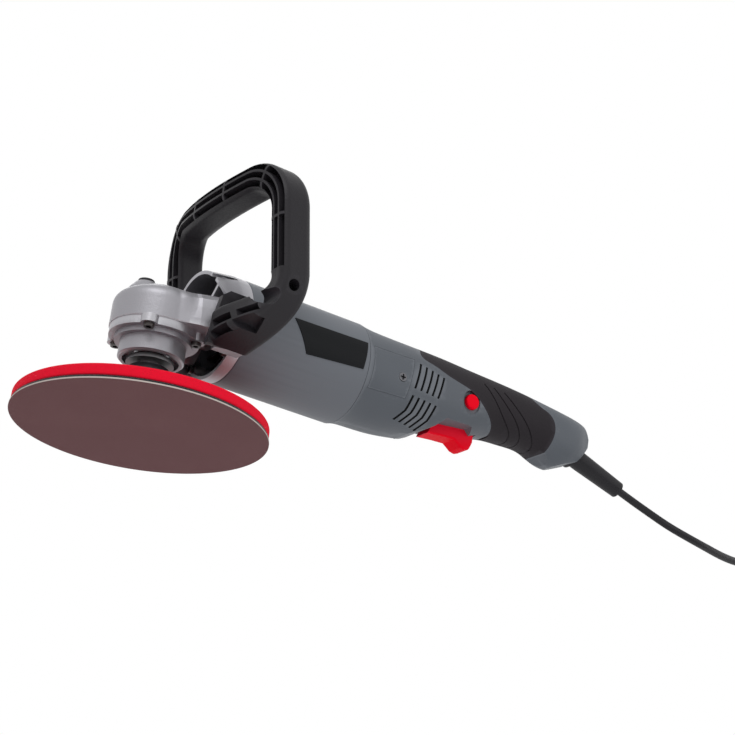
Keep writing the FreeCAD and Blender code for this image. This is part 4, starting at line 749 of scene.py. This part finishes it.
finishes["badge"] = finish("badge", linear(14, 16, 19), linear(32, 34, 37), 0.42, 1600, 0.00003,
                           specular=0.12)
for side_name, side in (("left", -1), ("right", 1)):
    badge_plate("badge_" + side_name, side)

# %% [markdown]
# ## Painted shade in the vents
#
# The cooling slots are dark inside, where shade falls. A near-black strip just below the skin of
# each slot paints that shade, so the slots look black right up to the surface. The housing's surface
# curves both ways, so the strip asks the shell for its depth with rays instead of repeating the shape.

# %% Painted shade strips in the slots
VENT_WIDTH = 0.0021
VENT_PITCH = 0.0059
VENT_COLUMNS = 5
UPPER_ROW = [(0.2035, 0.106), (0.1995, 0.0844)]                      # front edge of the first slot, x and z
LOWER_ROW = [(0.1993, 0.0792), (0.1973, 0.068), (0.1923, 0.061)]
UPPER_FALL = 0.0008      # each upper slot starts this much lower than the one before
SHADE_STRIP_SINK = 0.0007
SHADE_STRIP_THICKNESS = 0.001
SHADE_STRIP_SAMPLES = 10
SHADE_STRIP_OVERLAP = 0.0001
RAY_START = 0.06         # further out than any point of the shell


def slot_lines():
    """Middle lines of the slots in side view, as lists of (x, z)."""
    lines = []
    for i in range(VENT_COLUMNS):
        shift = VENT_WIDTH / 2 + VENT_PITCH * i
        upper = [(x + shift, z) for x, z in UPPER_ROW]
        upper[0] = (upper[0][0], upper[0][1] - UPPER_FALL * i)
        lines.append(upper)
        lines.append([(x + shift, z) for x, z in LOWER_ROW])
    return lines


def along(line, share):
    """Point at a share of the way along a line of straight runs."""
    runs = [(Vector(a), Vector(b)) for a, b in zip(line, line[1:])]
    left = share * sum((b - a).length for a, b in runs)
    for a, b in runs:
        if left <= (b - a).length:
            return a.lerp(b, left / (b - a).length)
        left -= (b - a).length
    return runs[-1][1]


def surface_depth(shell, x, z, side):
    """Distance of the shell's surface from the middle plane, from solid bands on both sides of a slot."""
    depths = []
    for shift in (-VENT_WIDTH, VENT_WIDTH):
        hit, place, _, _ = shell.ray_cast((x + shift, side * RAY_START, z), (0, -side, 0))
        if hit:
            depths.append(abs(place.y))
    return sum(depths) / len(depths)


def painted_slot_shade(name, shell, side):
    """Painted shade: near-black strips just under the surface in all slots of one shell."""
    work = bmesh.new()
    half = VENT_WIDTH / 2 + SHADE_STRIP_OVERLAP
    for line in slot_lines():
        rings = []
        for k in range(SHADE_STRIP_SAMPLES + 1):
            place = along(line, k / SHADE_STRIP_SAMPLES)
            front = surface_depth(shell, place.x, place.y, side) - SHADE_STRIP_SINK
            ring = []
            for dx, depth in ((-half, front), (half, front), (half, front - SHADE_STRIP_THICKNESS),
                              (-half, front - SHADE_STRIP_THICKNESS)):
                ring.append(work.verts.new((place.x + dx, side * depth, place.y)))
            rings.append(ring)
        for a, b in zip(rings, rings[1:]):
            for i in range(4):
                work.faces.new((a[i], a[(i + 1) % 4], b[(i + 1) % 4], b[i]))
        work.faces.new(rings[0])
        work.faces.new(rings[-1])
    piece = mesh_piece(name, work, finishes["shade_strips"], smooth=False)
    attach(piece, "housing")
    return piece


# painted shade: a near-black colour that stands for the shade inside the vent slots
finishes["shade_strips"] = finish("shade_strips", linear(9, 9, 10), linear(18, 18, 19), 0.9, 2500, 0.00005, specular=0.1)
for side_name, side in (("left", -1), ("right", 1)):
    shade_strips = painted_slot_shade("painted_slot_shade_" + side_name, nodes["handle_shell_" + side_name], side)
    print(shade_strips.name, "faces", len(shade_strips.data.polygons))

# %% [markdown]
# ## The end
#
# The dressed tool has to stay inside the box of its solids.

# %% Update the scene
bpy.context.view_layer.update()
